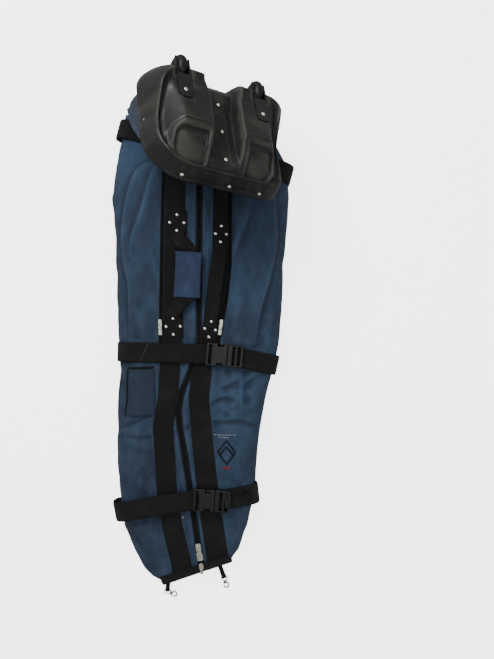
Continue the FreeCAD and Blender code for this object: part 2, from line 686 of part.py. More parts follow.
for side in (-1, 1):
    x0, x1 = sorted((side * 42, side * 126))
    room = rounded(x0, -118, x1, 30, [20, 20, 8, 8])
    pocket(shell, base_level(shell, 30, room), "42", reverse=True)

liner = new_body("base_liner", BASE)
pad(liner, base_level(liner, 27, rim_outline(22)), "3")
keep(liner)

brackets = []
for side, name in ((-1, "left"), (1, "right")):
    x = side * offset
    bracket = new_body(f"bracket_form_{name}", BASE)
    brackets.append(bracket)
    tongue = rounded(x - bracket_half, -20, x + bracket_half, 43, [15.6, 15.6, 1, 1])
    pad(bracket, base_level(bracket, DEPTH - 4.6, tongue), "6")
    for s in (-1, 1):
        inner = x + s * (bracket_half - size("ear_thickness"))
        x0, x1 = sorted((inner, x + s * bracket_half))
        ear = rounded(x0, 40.6, x1, 92, [0.4] * 4)
        pad(bracket, base_level(bracket, 62, ear), str(DEPTH + 1.4 - 62))
    web = rounded(x - bracket_half, 40.6, x + bracket_half, 45, [0.4] * 4)
    pad(bracket, base_level(bracket, 62, web), str(DEPTH + 1.4 - 62))
    ay, az = size("axle_back"), size("axle_height")
    drill = bracket.newObject("Sketcher::SketchObject", f"bracket_{name}_bore")
    drill.AttachmentSupport = [(origin_plane(bracket, "YZ_Plane"), "")]
    drill.MapMode = "FlatFace"
    drill.AttachmentOffset = Placement(Vector(0, 0, x), Rotation())
    drill.addGeometry(circle(ay, az, size("axle_radius") + 0.1), False)
    pocket(bracket, drill, "[bracket_width] + 4", midplane=True)

    wheel_place = BASE.multiply(Placement(Vector(x, ay, az), Rotation(Y_AXIS, 90)))
    r, w = size("wheel_radius"), size("wheel_width") / 2
    hub_r = size("hub_radius")
    tyre = new_body(f"tyre_{name}", wheel_place)
    tread = Part.Arc(Vector(r - 8, w, 0), Vector(r, 0, 0), Vector(r - 8, -w, 0))
    lines = [Vector(r - 8, -w, 0), Vector(hub_r + 2, -w, 0), Vector(hub_r, -w + 3, 0), Vector(hub_r, w - 3, 0),
             Vector(hub_r + 2, w, 0), Vector(r - 8, w, 0)]
    run = [tread] + [Part.LineSegment(a, b) for a, b in zip(lines, lines[1:])]
    revolve(tyre, sketch(tyre, "XZ_Plane", [run]))
    keep(tyre)
    hub = new_body(f"hub_{name}", wheel_place)
    br, bw = size("bearing_radius") + 0.02, size("bearing_width")
    outer_r = hub_r - 0.02
    ring = [(outer_r, w - 3), (br + 1.2, w - 1), (br, w - 1), (br, w - 1.6 - bw), (br - 2, w - 1.6 - bw),
            (br - 2, -w + 1.6 + bw), (br, -w + 1.6 + bw), (br, -w + 1), (br + 1.2, -w + 1), (outer_r, -w + 3)]
    revolve(hub, sketch(hub, "XZ_Plane", [polygon(ring)]))
    keep(hub)
    races = []
    for s in (-1, 1):
        race = doc.addObject("Part::Cylinder", f"race_{name}_{s + 1}")
        bind(race, "Radius", "[bearing_radius]")
        bind(race, "Height", "[bearing_width]")
        bore = doc.addObject("Part::Cylinder", f"race_bore_{name}_{s + 1}")
        bind(bore, "Radius", "[bearing_bore]")
        bore.Height = 20
        base_z = s * (w - 1.6 - bw / 2) - bw / 2
        race.Placement = wheel_place.multiply(Placement(Vector(0, 0, base_z), Rotation()))
        bore.Placement = wheel_place.multiply(Placement(Vector(0, 0, base_z - 5), Rotation()))
        races.append(boolean("Cut", f"bearing_{name}_{s + 1}", race, bore))
    gather(f"bearings_{name}", races)

axles = []
for side, name in ((-1, "left"), (1, "right")):
    axle = new_body(f"axle_{name}", BASE.multiply(Placement(
        Vector(side * offset, size("axle_back"), size("axle_height")), Rotation(Y_AXIS, 90))))
    reach = bracket_half + 0.3
    ar = size("axle_radius")
    run = [(0, -reach - 3), (6.5, -reach - 3), (6.5, -reach), (ar, -reach), (ar, reach), (6.5, reach),
           (6.5, reach + 3), (0, reach + 3)]
    revolve(axle, sketch(axle, "XZ_Plane", [polygon(run)]))
    axles.append(axle)
gather("wheel_axles", axles)


def wall_rivet(label, x, y, nx, ny):
    """Rivet through the sloping side wall, at a third of its height."""
    lean = Vector(nx, ny, 0.33).normalize()
    place = BASE.multiply(Placement(Vector(x, y, 17), Rotation(Z_AXIS, lean)))
    return dome(label, place, 4.6, 2.6, 3)


WALL_RIVETS = [(-161.7, -40, -1, 0), (-161.7, 45, -1, 0), (161.7, -60, 1, 0), (161.7, 30, 1, 0),
               (-85, -163.4, 0, -1), (30, -163.4, 0, -1), (108, -163.4, 0, -1), (-134, -130, -0.72, -0.7)]
base_rivets = [wall_rivet(f"wall_rivet_{i}", *spec) for i, spec in enumerate(WALL_RIVETS)]
for i, y in enumerate((25, -53, -130)):
    place = BASE.multiply(Placement(Vector(3, y, DEPTH - size("valley_depth")), Rotation()))
    base_rivets.append(dome(f"valley_rivet_{i}", place, 4.6, 2.4, 3))
for side in (-1, 1):
    place = BASE.multiply(Placement(Vector(side * offset, 0, DEPTH + 1.4), Rotation()))
    base_rivets.append(dome(f"bracket_rivet_{side + 1}", place, 4.6, 2.4, 3))
gather("base_rivets", base_rivets)
keep(drilled("base_shell", shell, base_rivets))
for name, bracket, rivet in zip(("left", "right"), brackets, base_rivets[-2:]):
    keep(drilled(f"wheel_bracket_{name}", bracket, [rivet]))

# ---------------------------------------------------------------- fabric neck between bag and base
# Ruled from a ring round the bag's slanted end up to the base's rim, filled like the rest of the bag.

NECK_POINTS = 28


def power(value, exponent):
    return math.copysign(abs(value) ** exponent, value)


def mouth_point(a):
    """The ring's near side lies over the bag's end, its far side just off the floor."""
    left, right = Vector(-186, 588, 0), Vector(185, 512, 0)
    middle, reach = (left + right) * 0.5, (right - left) * 0.5
    rise = power(math.sin(a), 0.8)
    return middle + reach * power(math.cos(a), 0.7) + Vector(0, -16 * rise, 31 + 27 * rise)


def rim_point(a):
    x = (W - 8) * power(math.cos(a), 0.55)
    y = (BACK - FRONT) / 2 - ((BACK + FRONT) / 2 - 8) * power(math.sin(a), 0.55)
    return BASE.multVec(Vector(x, y, -4))


angles = [2 * math.pi * i / NECK_POINTS for i in range(NECK_POINTS)] + [0]
rings = [Part.makePolygon([maker(a) for a in angles]) for maker in (mouth_point, rim_point)]
neck = doc.addObject("Part::Feature", "base_neck")
neck.Label = "base_neck"
neck.Shape = Part.makeLoft(rings, True, True)
neck.Placement = Placement()
keep(neck)

# ---------------------------------------------------------------- checks and files
doc.recompute()
for obj in parts:
    obj.Placement = CENTRE.multiply(obj.Placement)
for obj in doc.Objects:
    if "Invalid" in obj.State or "Error" in obj.State:
        raise RuntimeError(f"{obj.Label} failed: {obj.State}")
for obj in parts:
    if obj.Shape.isNull() or not obj.Shape.isValid() or not obj.Shape.Solids:
        raise RuntimeError(f"{obj.Label} has no valid solid")

os.makedirs("parts", exist_ok=True)
for obj in parts:
    obj.Shape.exportStep(f"parts/{obj.Label}.step")
print(f"{len(parts)} parts written")
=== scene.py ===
import math

import bmesh
import bpy
import numpy as np
from bpy.props import FloatProperty, FloatVectorProperty, IntProperty
from bpy.types import Operator, Panel, PropertyGroup
from mathutils import Matrix, Vector


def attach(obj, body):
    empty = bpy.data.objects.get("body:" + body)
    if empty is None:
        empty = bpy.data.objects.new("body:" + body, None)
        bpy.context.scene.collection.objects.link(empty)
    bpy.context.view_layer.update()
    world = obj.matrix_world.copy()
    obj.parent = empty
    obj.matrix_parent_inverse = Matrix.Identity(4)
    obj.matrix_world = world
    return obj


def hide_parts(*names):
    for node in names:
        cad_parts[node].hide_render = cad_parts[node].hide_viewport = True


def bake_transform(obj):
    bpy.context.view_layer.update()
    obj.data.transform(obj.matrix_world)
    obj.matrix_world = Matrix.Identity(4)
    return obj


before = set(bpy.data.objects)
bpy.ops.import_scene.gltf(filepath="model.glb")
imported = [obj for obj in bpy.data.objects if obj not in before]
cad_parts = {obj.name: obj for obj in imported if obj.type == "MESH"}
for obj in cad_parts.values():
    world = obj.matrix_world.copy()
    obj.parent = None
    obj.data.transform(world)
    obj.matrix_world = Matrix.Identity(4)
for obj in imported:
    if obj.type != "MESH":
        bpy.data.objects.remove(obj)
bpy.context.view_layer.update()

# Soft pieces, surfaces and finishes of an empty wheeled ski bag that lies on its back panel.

bl_info = {
    "name": "Wheeled ski bag",
    "version": (1, 0, 0),
    "blender": (4, 5, 0),
    "location": "View3D > Sidebar > Ski bag",
    "description": "Builds the cloth, webbing, moulded base and finishes of a wheeled ski bag",
    "category": "Object",
}

# Plan of the bag in millimetres, in its own frame: +Y to the wheels, +Z out of the front face.
ORIGIN = np.array([-1.47, 31.14, 0.0])
LEFT_SIDE = np.array([
    (-638, -103), (-620, -128), (-600, -147), (-579, -160), (-553, -173), (-491, -198), (-409, -209),
    (-327, -216), (-245, -219), (-162, -214), (-80, -207), (-18, -211), (64, -217), (187, -219),
    (269, -223), (352, -232), (393, -226), (434, -220), (496, -206), (572, -196)], float)
RIGHT_SIDE = np.array([
    (-579, 76), (-553, 96), (-491, 118), (-409, 137), (-327, 143), (-245, 152), (-162, 167), (-80, 186),
    (-18, 200), (64, 208), (187, 215), (269, 221), (352, 226), (434, 220), (492, 196)], float)
THICKNESS = np.array([
    (-640, 36), (-600, 38.6), (-553, 41.8), (-490, 46.1), (-409, 51.6), (-285, 60), (-162, 63), (-80, 65),
    (64, 68), (270, 72), (352, 70), (434, 66), (496, 60.3), (572, 50)], float)
ZIP_LINE = np.array([
    (-2, 500), (-2, 359), (-4, 88), (-3, -13), (-25, -90), (-48, -141), (-56, -185), (-53, -231), (-42, -287),
    (-3, -563), (3, -606)], float)
WEB_LEFT = np.array([
    (-61, 520), (-62, 362), (-69.5, 0), (-76, -68), (-82, -158), (-95, -231), (-91, -290), (-85, -405),
    (-72, -490), (-56, -560), (-45, -618)], float)
WEB_RIGHT = np.array([
    (53, 480), (52, 332), (50, 180), (40, 88), (21, -13), (5, -68), (-4, -158), (2, -231), (14, -360),
    (28, -470), (41, -560), (43, -592)], float)
POCKET_LEFT = np.array([(-91, 420), (-93, 380), (-100.5, 0), (-101, -25)], float)
POCKET_RIGHT = np.array([(76, 420), (76, 380), (75, 180), (65, 88), (48, 0), (44, -25)], float)

STRAP_WIDTH, STRAP_THICK = 50, 2.2
HANDLE_WIDTH = 38
WHEEL_SIDE = 97

# Folds of the slack cloth: run of points, height, reach to the run's left and to its right.
FOLDS = [
    (((-124, 438), (-161, 418), (-174, 380), (-187, 330), (-197, 249), (-196, 204), (-191, 168), (-177, 128),
      (-179, 78), (-177, -8)), 9.0, 26, 3.0),
    (((-106, 440), (-121, 412), (-134, 360), (-151, 299), (-171, 249), (-175, 200)), 7.0, 22, 3.5),
    (((-219, 330), (-203, 219), (-205, 153), (-197, 28)), 3.5, 3.0, 12),
    (((184, 400), (188, 342), (194, 241), (188, 201), (176, 146), (151, 60), (138, -20)), 9.0, 3.0, 30),
    (((128, 330), (122, 310), (100, 256), (75, 191), (64, 130)), 6.0, 5.0, 30),
    (((30, 330), (22, 240), (16, 150)), 3.5, 12, 4.0),
    (((-197, -252), (-150, -257), (-119, -257), (-71, -247), (-26, -229), (25, -221), (105, -214),
      (150, -234)), -6.0, 5.0, 12),
    (((105, -86), (106, -140), (104, -211)), 4.5, 4.0, 14),
    (((40, -130), (75, -120), (98, -103)), 4.0, 9.0, 4.0),
    (((12, -186), (48, -160), (70, -158), (96, -168)), -5.0, 5.0, 9.0),
    (((112, -130), (130, -112), (150, -98)), -6.0, 6.0, 12),
    (((60, -180), (80, -196), (100, -186)), 3.5, 5.0, 8.0),
    (((-192, -90), (-204, -211), (-204, -262), (-202, -403)), 3.0, 3.0, 9.0),
    (((-120, -196), (-150, -214), (-196, -232)), -3.5, 5.0, 10),
    (((-185, -470), (-165, -535), (-128, -590)), 2.6, 2.5, 6.0),
    (((60, -40), (95, -34), (150, -52)), 3.5, 4.0, 10),
]


# ---------------------------------------------------------------- arrays

def placed(points):
    """Millimetres in the bag's frame to metres in the row frame."""
    return (np.asarray(points, float) + ORIGIN) / 1000.0


def ease(low, high, value):
    """0 below low, 1 above high, and a smooth S between."""
    part = np.clip((value - low) / (high - low), 0, 1)
    return part * part * (3 - 2 * part)


def thickness(y):
    """Height of the bag's section at plan points, straight between the stations' values."""
    return np.interp(y, THICKNESS[:, 0], THICKNESS[:, 1])


def resample(line, count, smooth=0):
    """A polyline as count points at equal steps, its corners eased by smooth rounds of averaging."""
    line = np.asarray(line, float)
    run = np.concatenate(([0], np.cumsum(np.linalg.norm(np.diff(line, axis=0), axis=1))))
    steps = np.linspace(0, run[-1], count)
    points = np.stack([np.interp(steps, run, line[:, i]) for i in range(line.shape[1])], 1)
    for _ in range(smooth):
        points[1:-1] = (points[:-2] + 2 * points[1:-1] + points[2:]) / 4
    return points


def signed_distance(x, y, line):
    """Distance from a polyline, positive to its left, and how far along it, from 0 to 1."""
    line = np.asarray(line, float)
    best, side, share = np.full(x.shape, 1e9), np.zeros(x.shape), np.zeros(x.shape)
    for i, (p, q) in enumerate(zip(line, line[1:])):
        d = q - p
        t = np.clip(((x - p[0]) * d[0] + (y - p[1]) * d[1]) / (d @ d), 0, 1)
        dx, dy = x - p[0] - t * d[0], y - p[1] - t * d[1]
        gap = np.hypot(dx, dy)
        near = gap < best
        best = np.where(near, gap, best)
        side = np.where(near, np.sign(d[0] * dy - d[1] * dx), side)
        share = np.where(near, (i + t) / (len(line) - 1), share)
    return best * side, share


def blurred(field, rounds):
    """Averages a grid with its neighbours along both axes."""
    for _ in range(rounds):
        field = np.concatenate((field[:1], (field[:-2] + 2 * field[1:-1] + field[2:]) / 4, field[-1:]))
        field = np.concatenate((field[:, :1], (field[:, :-2] + 2 * field[:, 1:-1] + field[:, 2:]) / 4,
                                field[:, -1:]), axis=1)
    return field


def waves(x, y, seed, scale, count=9):
    """Seeded sum of plane waves with lengths near scale, about -1 to 1."""
    rng = np.random.default_rng(seed)
    total = np.zeros(np.broadcast(x, y).shape)
    for _ in range(count):
        angle = rng.uniform(0, 2 * math.pi)
        phase = rng.uniform(0, 6.3)
        length = scale * rng.uniform(0.6, 1.8)
        total += np.sin((x * math.cos(angle) + y * math.sin(angle)) * 6.283 / length + phase)
    return total / math.sqrt(count) / 1.4


# ---------------------------------------------------------------- meshes

def new_object(name, mesh, material, body=None, smooth=True):
    """Links a mesh, gives it its finish and lets it move with a CAD body."""
    piece = bpy.data.objects.new(name, mesh)
    bpy.context.scene.collection.objects.link(piece)
    mesh.materials.append(material)
    mesh.polygons.foreach_set("use_smooth", np.full(len(mesh.polygons), smooth))
    if body:
        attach(piece, body)
    return piece


def grid_mesh(name, points, wrap=False, caps=False, uv=None):
    """Mesh of a grid of points, rows by columns. wrap joins the last column to the first, and caps
    closes the first and last rows. uv is a grid of metres along and across."""
    rows, columns = points.shape[:2]
    index = np.arange(rows * columns).reshape(rows, columns)
    right = np.roll(index, -1, 1) if wrap else index[:, 1:]
    left = index if wrap else index[:, :-1]
    quads = np.stack((left[:-1], right[:-1], right[1:], left[1:]), -1).reshape(-1, 4)
    mesh = bpy.data.meshes.new(name)
    faces = quads.tolist()
    if caps:
        faces += [index[0][::-1].tolist(), index[-1].tolist()]
    mesh.from_pydata(points.reshape(-1, 3).tolist(), [], faces)
    if uv is not None:
        layer = mesh.uv_layers.new(name="metres")
        loops = np.empty(len(mesh.loops), np.int32)
        mesh.loops.foreach_get("vertex_index", loops)
        flat = uv.reshape(-1, 2)[loops]
        if wrap:
            wide = np.zeros(len(loops), bool)
            corners = quads.size
            columns_of = loops[:corners].reshape(-1, 4) % columns
            seam = (columns_of.max(1) - columns_of.min(1)) > columns // 2
            wide[:corners] = (np.repeat(seam, 4)) & ((loops[:corners] % columns) == 0)
            girth = 2 * uv[:, -1, 1] - uv[:, -2, 1]
            flat[wide, 1] = girth[loops[wide] // columns]
        layer.data.foreach_set("uv", flat.astype(np.float32).ravel())
    mesh.update()
    return mesh


def outward(mesh):
    """Turns a closed mesh's faces outwards."""
    shape = bmesh.new()
    shape.from_mesh(mesh)
    bmesh.ops.recalc_face_normals(shape, faces=shape.faces)
    shape.to_mesh(mesh)
    shape.free()
    return mesh


def band_profile(half_width, half_thick, count=9):
    """Cross-section of flat webbing: two level faces whose edges are rounded, as across and normal."""
    across = np.linspace(-1, 1, count)
    lift = np.sqrt(np.clip(1 - np.abs(across) ** 14, 0, 1)) * half_thick
    over = np.stack((across * half_width, lift), 1)
    under = np.stack((across[::-1] * half_width, -lift[::-1]), 1)[1:-1]
    return np.concatenate((over, under))


def ribbon(name, path, across, width, thick, material, body=None, columns=9):
    """Flat webbing along a path: each cross-section is the band profile, its width along the given
    across direction and its thickness along the normal of the path and that direction."""
    path = np.asarray(path, float)
    ahead = np.gradient(path, axis=0)
    ahead /= np.linalg.norm(ahead, axis=1)[:, None]
    across = np.broadcast_to(np.asarray(across, float), path.shape).copy()
    across -= (across * ahead).sum(1)[:, None] * ahead
    across /= np.linalg.norm(across, axis=1)[:, None]
    normal = np.cross(across, ahead)
    widths = np.broadcast_to(np.asarray(width, float), (len(path),))
    unit = band_profile(1.0, 1.0, columns)
    points = (path[:, None] + across[:, None] * (unit[None, :, :1] * widths[:, None, None] / 2)
              + normal[:, None] * (unit[None, :, 1:] * thick / 2))
    run = np.concatenate(([0], np.cumsum(np.linalg.norm(np.diff(path, axis=0), axis=1)))) / 1000
    uv = np.stack(np.broadcast_arrays(run[:, None], unit[None, :, 0] * widths[:, None] / 2000), -1)
    mesh = outward(grid_mesh(name, placed(points), wrap=True, caps=True, uv=uv))
    return new_object(name, mesh, material, body)


class Cloth:
    """Front face of the finished bag as a height field over its plan."""
    rows, columns = 430, 150
    height = None

    @staticmethod
    def sides(t):
        """Left and right plan points at share t of the bag's length."""
        yl = LEFT_SIDE[0, 0] + (LEFT_SIDE[-1, 0] - LEFT_SIDE[0, 0]) * t
        yr = RIGHT_SIDE[0, 0] + (RIGHT_SIDE[-1, 0] - RIGHT_SIDE[0, 0]) * t
        return np.interp(yl, *LEFT_SIDE.T), yl, np.interp(yr, *RIGHT_SIDE.T), yr

    @classmethod
    def share(cls, x, y):
        """Share along and share across of plan points."""
        t = np.clip((y + 610) / 1140, 0, 1)
        for _ in range(6):
            xl, yl, xr, yr = cls.sides(t)
            s = np.clip((x - xl) / (xr - xl), 0, 1)
            t = np.clip(t + (y - (yl + (yr - yl) * s)) / 1140, 0, 1)
        return t, s

    @classmethod
    def at(cls, x, y):
        """Height of the front face at plan points, straight between grid values."""
        t, s = cls.share(np.asarray(x, float), np.asarray(y, float))
        a = np.interp(t, cls.along, np.arange(len(cls.along)))
        b = np.interp(s, cls.across, np.arange(len(cls.across)))
        i = np.clip(a.astype(int), 0, cls.height.shape[0] - 2)
        j = np.clip(b.astype(int), 0, cls.height.shape[1] - 2)
        u, v, h = a - i, b - j, cls.height
        return (h[i, j] * (1 - u) * (1 - v) + h[i + 1, j] * u * (1 - v) + h[i, j + 1] * (1 - u) * v
                + h[i + 1, j + 1] * u * v)


def spread(count):
    """Shares across the bag, closer together at both sides."""
    even = np.linspace(0, 1, count)
    return even - 0.09 * np.sin(2 * math.pi * even)


def lengthwise(count):
    """Shares along the bag, closer together at both ends."""
    even = np.linspace(0, 1, count)
    return even - 0.012 * np.sin(2 * math.pi * even)


def body_grid(rows, columns):
    """Bag surface as rows along by 2 * columns - 2 round it: over the front from left to right, then
    back underneath. Each section is a stadium, half round at both sides, and both ends round off."""
    t = lengthwise(rows)[:, None]
    s = spread(columns)[None, :]
    xl, yl, xr, yr = Cloth.sides(t)
    x, y = xl + (xr - xl) * s, yl + (yr - yl) * s
    thick = thickness(y)
    edge = np.minimum(s, 1 - s) * (xr - xl) / (0.55 * thick)
    end = np.minimum(t * 1200, (1 - t) * 1120) / (0.5 * thick)
    bulge = np.sqrt(1 - (1 - np.clip(edge, 0, 1)) ** 2) * np.sqrt(1 - (1 - np.clip(end, 0, 1)) ** 2)
    front = np.stack((x, y, thick * (0.5 + 0.5 * bulge)), -1)
    back = np.stack((x, y, thick * (0.5 - 0.5 * bulge)), -1)
    return np.concatenate((front, back[:, ::-1][:, 1:-1]), axis=1)


def held(x, y):
    """1 where webbing, zips and straps hold the cloth flat, falling to 0 between them."""
    hold = np.zeros(x.shape)
    for line, half in ((WEB_LEFT, 27), (WEB_RIGHT, 27), (ZIP_LINE, 12), (POCKET_LEFT, 8), (POCKET_RIGHT, 8)):
        gap = np.abs(signed_distance(x, y, line)[0])
        hold = np.maximum(hold, 1 - ease(half, half + 7, gap))
    for centre, slant in ((-44, -0.09), (-420, 0.14), (470, -0.3)):
        hold = np.maximum(hold, 1 - ease(24, 36, np.abs(y - centre - slant * x)))
    return hold


def simulate(points, settings):
    """Lets the slack cloth swell a little between the pieces that hold it, and returns the moved grid."""
    mesh = outward(grid_mesh("cloth_trial", placed(points), wrap=True))
    trial = bpy.data.objects.new("cloth_trial", mesh)
    bpy.context.scene.collection.objects.link(trial)
    flat = points.reshape(-1, 3)
    hold = held(flat[:, 0], flat[:, 1]) * (flat[:, 2] > 20)
    hold = np.maximum(hold, flat[:, 2] < 6)
    group = trial.vertex_groups.new(name="held")
    for level in (0.4, 0.8, 1.0):
        chosen = np.nonzero(hold >= level - 0.2)[0]
        group.add(chosen.tolist(), level, "REPLACE")
    cloth = trial.modifiers.new("cloth", "CLOTH")
    cloth.settings.quality = 4
    cloth.settings.mass = 0.25
    cloth.settings.tension_stiffness = 18
    cloth.settings.compression_stiffness = 12
    cloth.settings.bending_stiffness = 0.6
    cloth.settings.use_pressure = True
    cloth.settings.uniform_pressure_force = settings.pressure
    cloth.settings.vertex_group_mass = "held"
    cloth.settings.shrink_min = -0.02
    cloth.settings.effector_weights.gravity = 0
    cloth.collision_settings.use_collision = False
    scene = bpy.context.scene
    cloth.point_cache.frame_start, cloth.point_cache.frame_end = 1, settings.frames
    for number in range(1, settings.frames + 1):
        scene.frame_set(number)
    shown = trial.evaluated_get(bpy.context.evaluated_depsgraph_get())
    moved = np.empty(len(mesh.vertices) * 3)
    shown.data.vertices.foreach_get("co", moved)
    scene.frame_set(1)
    bpy.data.objects.remove(trial)
    shift = moved.reshape(points.shape) * 1000 - ORIGIN - points
    size = np.linalg.norm(shift, axis=-1, keepdims=True)
    return shift * np.minimum(1, settings.cap / np.maximum(size, 1e-6))


def folds(x, y, strength):
    """Height of every fold: a ridge or groove along its run, steep on its short side, dying out at both
    ends, with fine slack waves between."""
    total = np.zeros(x.shape)
    for run, high, left, right in FOLDS:
        gap, share = signed_distance(x, y, resample(run, 4 * len(run), 3))
        reach = np.where(gap > 0, left, right)
        body = np.exp(-(np.abs(gap) / reach) ** 1.4)
        total += high * strength * body * np.sin(np.clip(share, 0.04, 0.96) * math.pi) ** 0.5
    slack = 1 - held(x, y)
    total *= 0.35 + 0.65 * slack
    crumple = ease(-250, -200, y) * (1 - ease(-70, -40, y)) * ease(25, 60, x)
    total += slack * (0.9 * waves(x, y * 0.6, 3, 90) + 0.35 * waves(x, y, 4, 34))
    total += slack * crumple * 1.9 * waves(x + 0.7 * y, y - 0.5 * x, 5, 46)
    near_strap = np.exp(-((y + 8) / 16) ** 2) + np.exp(-((y + 92) / 18) ** 2) + np.exp(-((y + 368) / 16) ** 2)
    total += slack * near_strap * 1.2 * waves(x, 0.15 * y, 6, 26)
    return total


def details(x, y):
    """Sewn lines: the strips beside the main zip, the channel it runs in, and the side seams."""
    gap = np.abs(signed_distance(x, y, resample(ZIP_LINE, 60, 3))[0])
    total = -2.2 * (1 - ease(6.5, 9.5, gap)) + 1.3 * np.exp(-((gap - 12) / 2.5) ** 2)
    total -= 0.9 * np.exp(-((gap - 24) / 1.6) ** 2)
    return total


# ---------------------------------------------------------------- finishes

class Finish:
    """Builds a material's nodes: each call adds a node, links its inputs and returns its output."""

    def __init__(self, name, colour, roughness, metallic=0.0, specular=0.5):
        self.material = bpy.data.materials.new(name)
        self.material.use_nodes = True
        self.tree = self.material.node_tree
        self.shader = self.tree.nodes["Principled BSDF"]
        self.shader.inputs["Base Color"].default_value = (*colour, 1)
        self.shader.inputs["Roughness"].default_value = roughness
        self.shader.inputs["Metallic"].default_value = metallic
        self.shader.inputs["Specular IOR Level"].default_value = specular
        self.material.diffuse_color = (*colour, 1)

    def node(self, kind, output=0, inputs=(), **options):
        """Adds a node, sets its options and links or sets its inputs."""
        made = self.tree.nodes.new("ShaderNode" + kind)
        for key, value in options.items():
            setattr(made, key, value)
        for key, value in dict(inputs).items():
            if isinstance(value, bpy.types.NodeSocket):
                self.tree.links.new(value, made.inputs[key])
            else:
                made.inputs[key].default_value = value
        return made.outputs[output]

    def place(self, uv):
        """The piece's own UV map in metres, or object coordinates."""
        return self.node("TexCoord", "UV" if uv else "Object")

    def math(self, operation, a, b=0.0):
        return self.node("Math", 0, {0: a, 1: b}, operation=operation)

    def noise(self, place, scale, detail=3.0, stretch=None):
        """Cloudy noise, stretched along an axis where one is given a smaller scale."""
        if stretch:
            place = self.node("Mapping", 0, {"Vector": place, "Scale": stretch})
        return self.node("TexNoise", "Fac", {"Vector": place, "Scale": scale, "Detail": detail})

    def range(self, value, low, high, to_low, to_high):
        """Values from low to high carried in a straight line to to_low and to_high, and clamped."""
        return self.node("MapRange", 0, {0: value, 1: low, 2: high, 3: to_low, 4: to_high})

    def mix(self, factor, a, b):
        return self.node("Mix", 2, {0: factor, 6: a, 7: b}, data_type="RGBA")

    def set(self, socket, value):
        self.tree.links.new(value, self.shader.inputs[socket])

    def bump(self, height, strength, distance, normal=None):
        inputs = {"Height": height, "Strength": strength, "Distance": distance}
        if normal:
            inputs["Normal"] = normal
        return self.node("Bump", 0, inputs)

    def weave(self, place, along, across, strength, distance):
        """Crossed threads: the product of two rows of rounded ridges at right angles."""
        split = self.tree.nodes.new("ShaderNodeSeparateXYZ")
        self.tree.links.new(place, split.inputs[0])
        rows = [self.math("SINE", self.math("MULTIPLY", split.outputs[i], 6.2832 / pitch))
                for i, pitch in ((0, along), (1, across))]
        product = self.math("MULTIPLY", rows[0], rows[1])
        return self.bump(product, strength, distance)


def rgba(r, g, b):
    """Linear colour from screen values."""
    return tuple(((c / 255 + 0.055) / 1.055) ** 2.4 for c in (r, g, b)) + (1.0,)


def cloth_finish(name, base, pale, dark, uv=True):
    """Coarse nylon: crossed threads, cloudy fading, dust specks, a paler worn ridge and painted shade in the
    folds.
    """
    f = Finish(name, base[:3], 0.62, specular=0.28)
    where = f.place(uv)
    solid = f.place(False)
    clouds = f.range(f.noise(solid, 5.5, 5.0), 0.35, 0.68, 0.0, 1.0)
    streaks = f.range(f.noise(solid, 40.0, 4.0, (1.0, 0.5, 1.0)), 0.42, 0.75, 0.0, 0.35)
    tone = f.mix(clouds, dark, base)
    tone = f.mix(streaks, tone, pale)
    wear_and_shade = f.node("Attribute", "Fac", attribute_name="wear_and_shade")
    # Paler where the value is high: wear on the ridges. Darker where it is low: painted shade in the folds
    # and hollows.
    tone = f.mix(f.range(wear_and_shade, 0.5, 1.0, 0.0, 0.4), tone, pale)
    tone = f.mix(f.range(wear_and_shade, 0.5, 0.0, 0.0, 0.8), tone, dark)
    specks = f.range(f.noise(solid, 420.0, 1.0), 0.76, 0.8, 0.0, 0.35)
    tone = f.mix(specks, tone, rgba(118, 128, 140))
    f.set("Base Color", tone)
    f.set("Roughness", f.range(f.noise(solid, 60.0, 3.0), 0.3, 0.7, 0.52, 0.72))
    threads = f.weave(where, 0.0017, 0.0017, 0.55, 0.0005)
    f.set("Normal", f.bump(f.noise(solid, 130.0, 3.0), 0.25, 0.0012, threads))
    return f.material


def webbing_finish(name, base, dusty):
    """Heavy webbing: close ribs along it, coarser steps across, dust in patches."""
    f = Finish(name, base[:3], 0.7, specular=0.25)
    where, solid = f.place(True), f.place(False)
    dust = f.range(f.noise(solid, 14.0, 6.0), 0.5, 0.78, 0.0, 0.8)
    fuzz = f.range(f.noise(solid, 380.0, 2.0), 0.55, 0.8, 0.0, 0.5)
    tone = f.mix(dust, base, dusty)
    tone = f.mix(fuzz, tone, dusty)
    f.set("Base Color", tone)
    ribs = f.weave(where, 0.0024, 0.0016, 0.9, 0.0008)
    f.set("Normal", f.bump(f.noise(solid, 200.0, 2.0), 0.3, 0.0008, ribs))
    return f.material


def zip_finish(name):
    """Nylon coil between two tapes: teeth across the middle, a fine weave at both sides."""
    f = Finish(name, (0.006, 0.006, 0.007), 0.7, specular=0.15)
    where = f.place(True)
    split = f.tree.nodes.new("ShaderNodeSeparateXYZ")
    f.tree.links.new(where, split.inputs[0])
    teeth = f.math("SINE", f.math("MULTIPLY", split.outputs[0], 6.2832 / 0.0022))
    middle = f.math("LESS_THAN", f.math("ABSOLUTE", split.outputs[1]), 0.0032)
    f.set("Normal", f.bump(f.math("MULTIPLY", teeth, middle), 1.0, 0.0012))
    f.set("Base Color", f.mix(f.range(f.noise(f.place(False), 60.0), 0.45, 0.8, 0.0, 0.6),
                              rgba(9, 9, 10), rgba(26, 27, 29)))
    return f.material


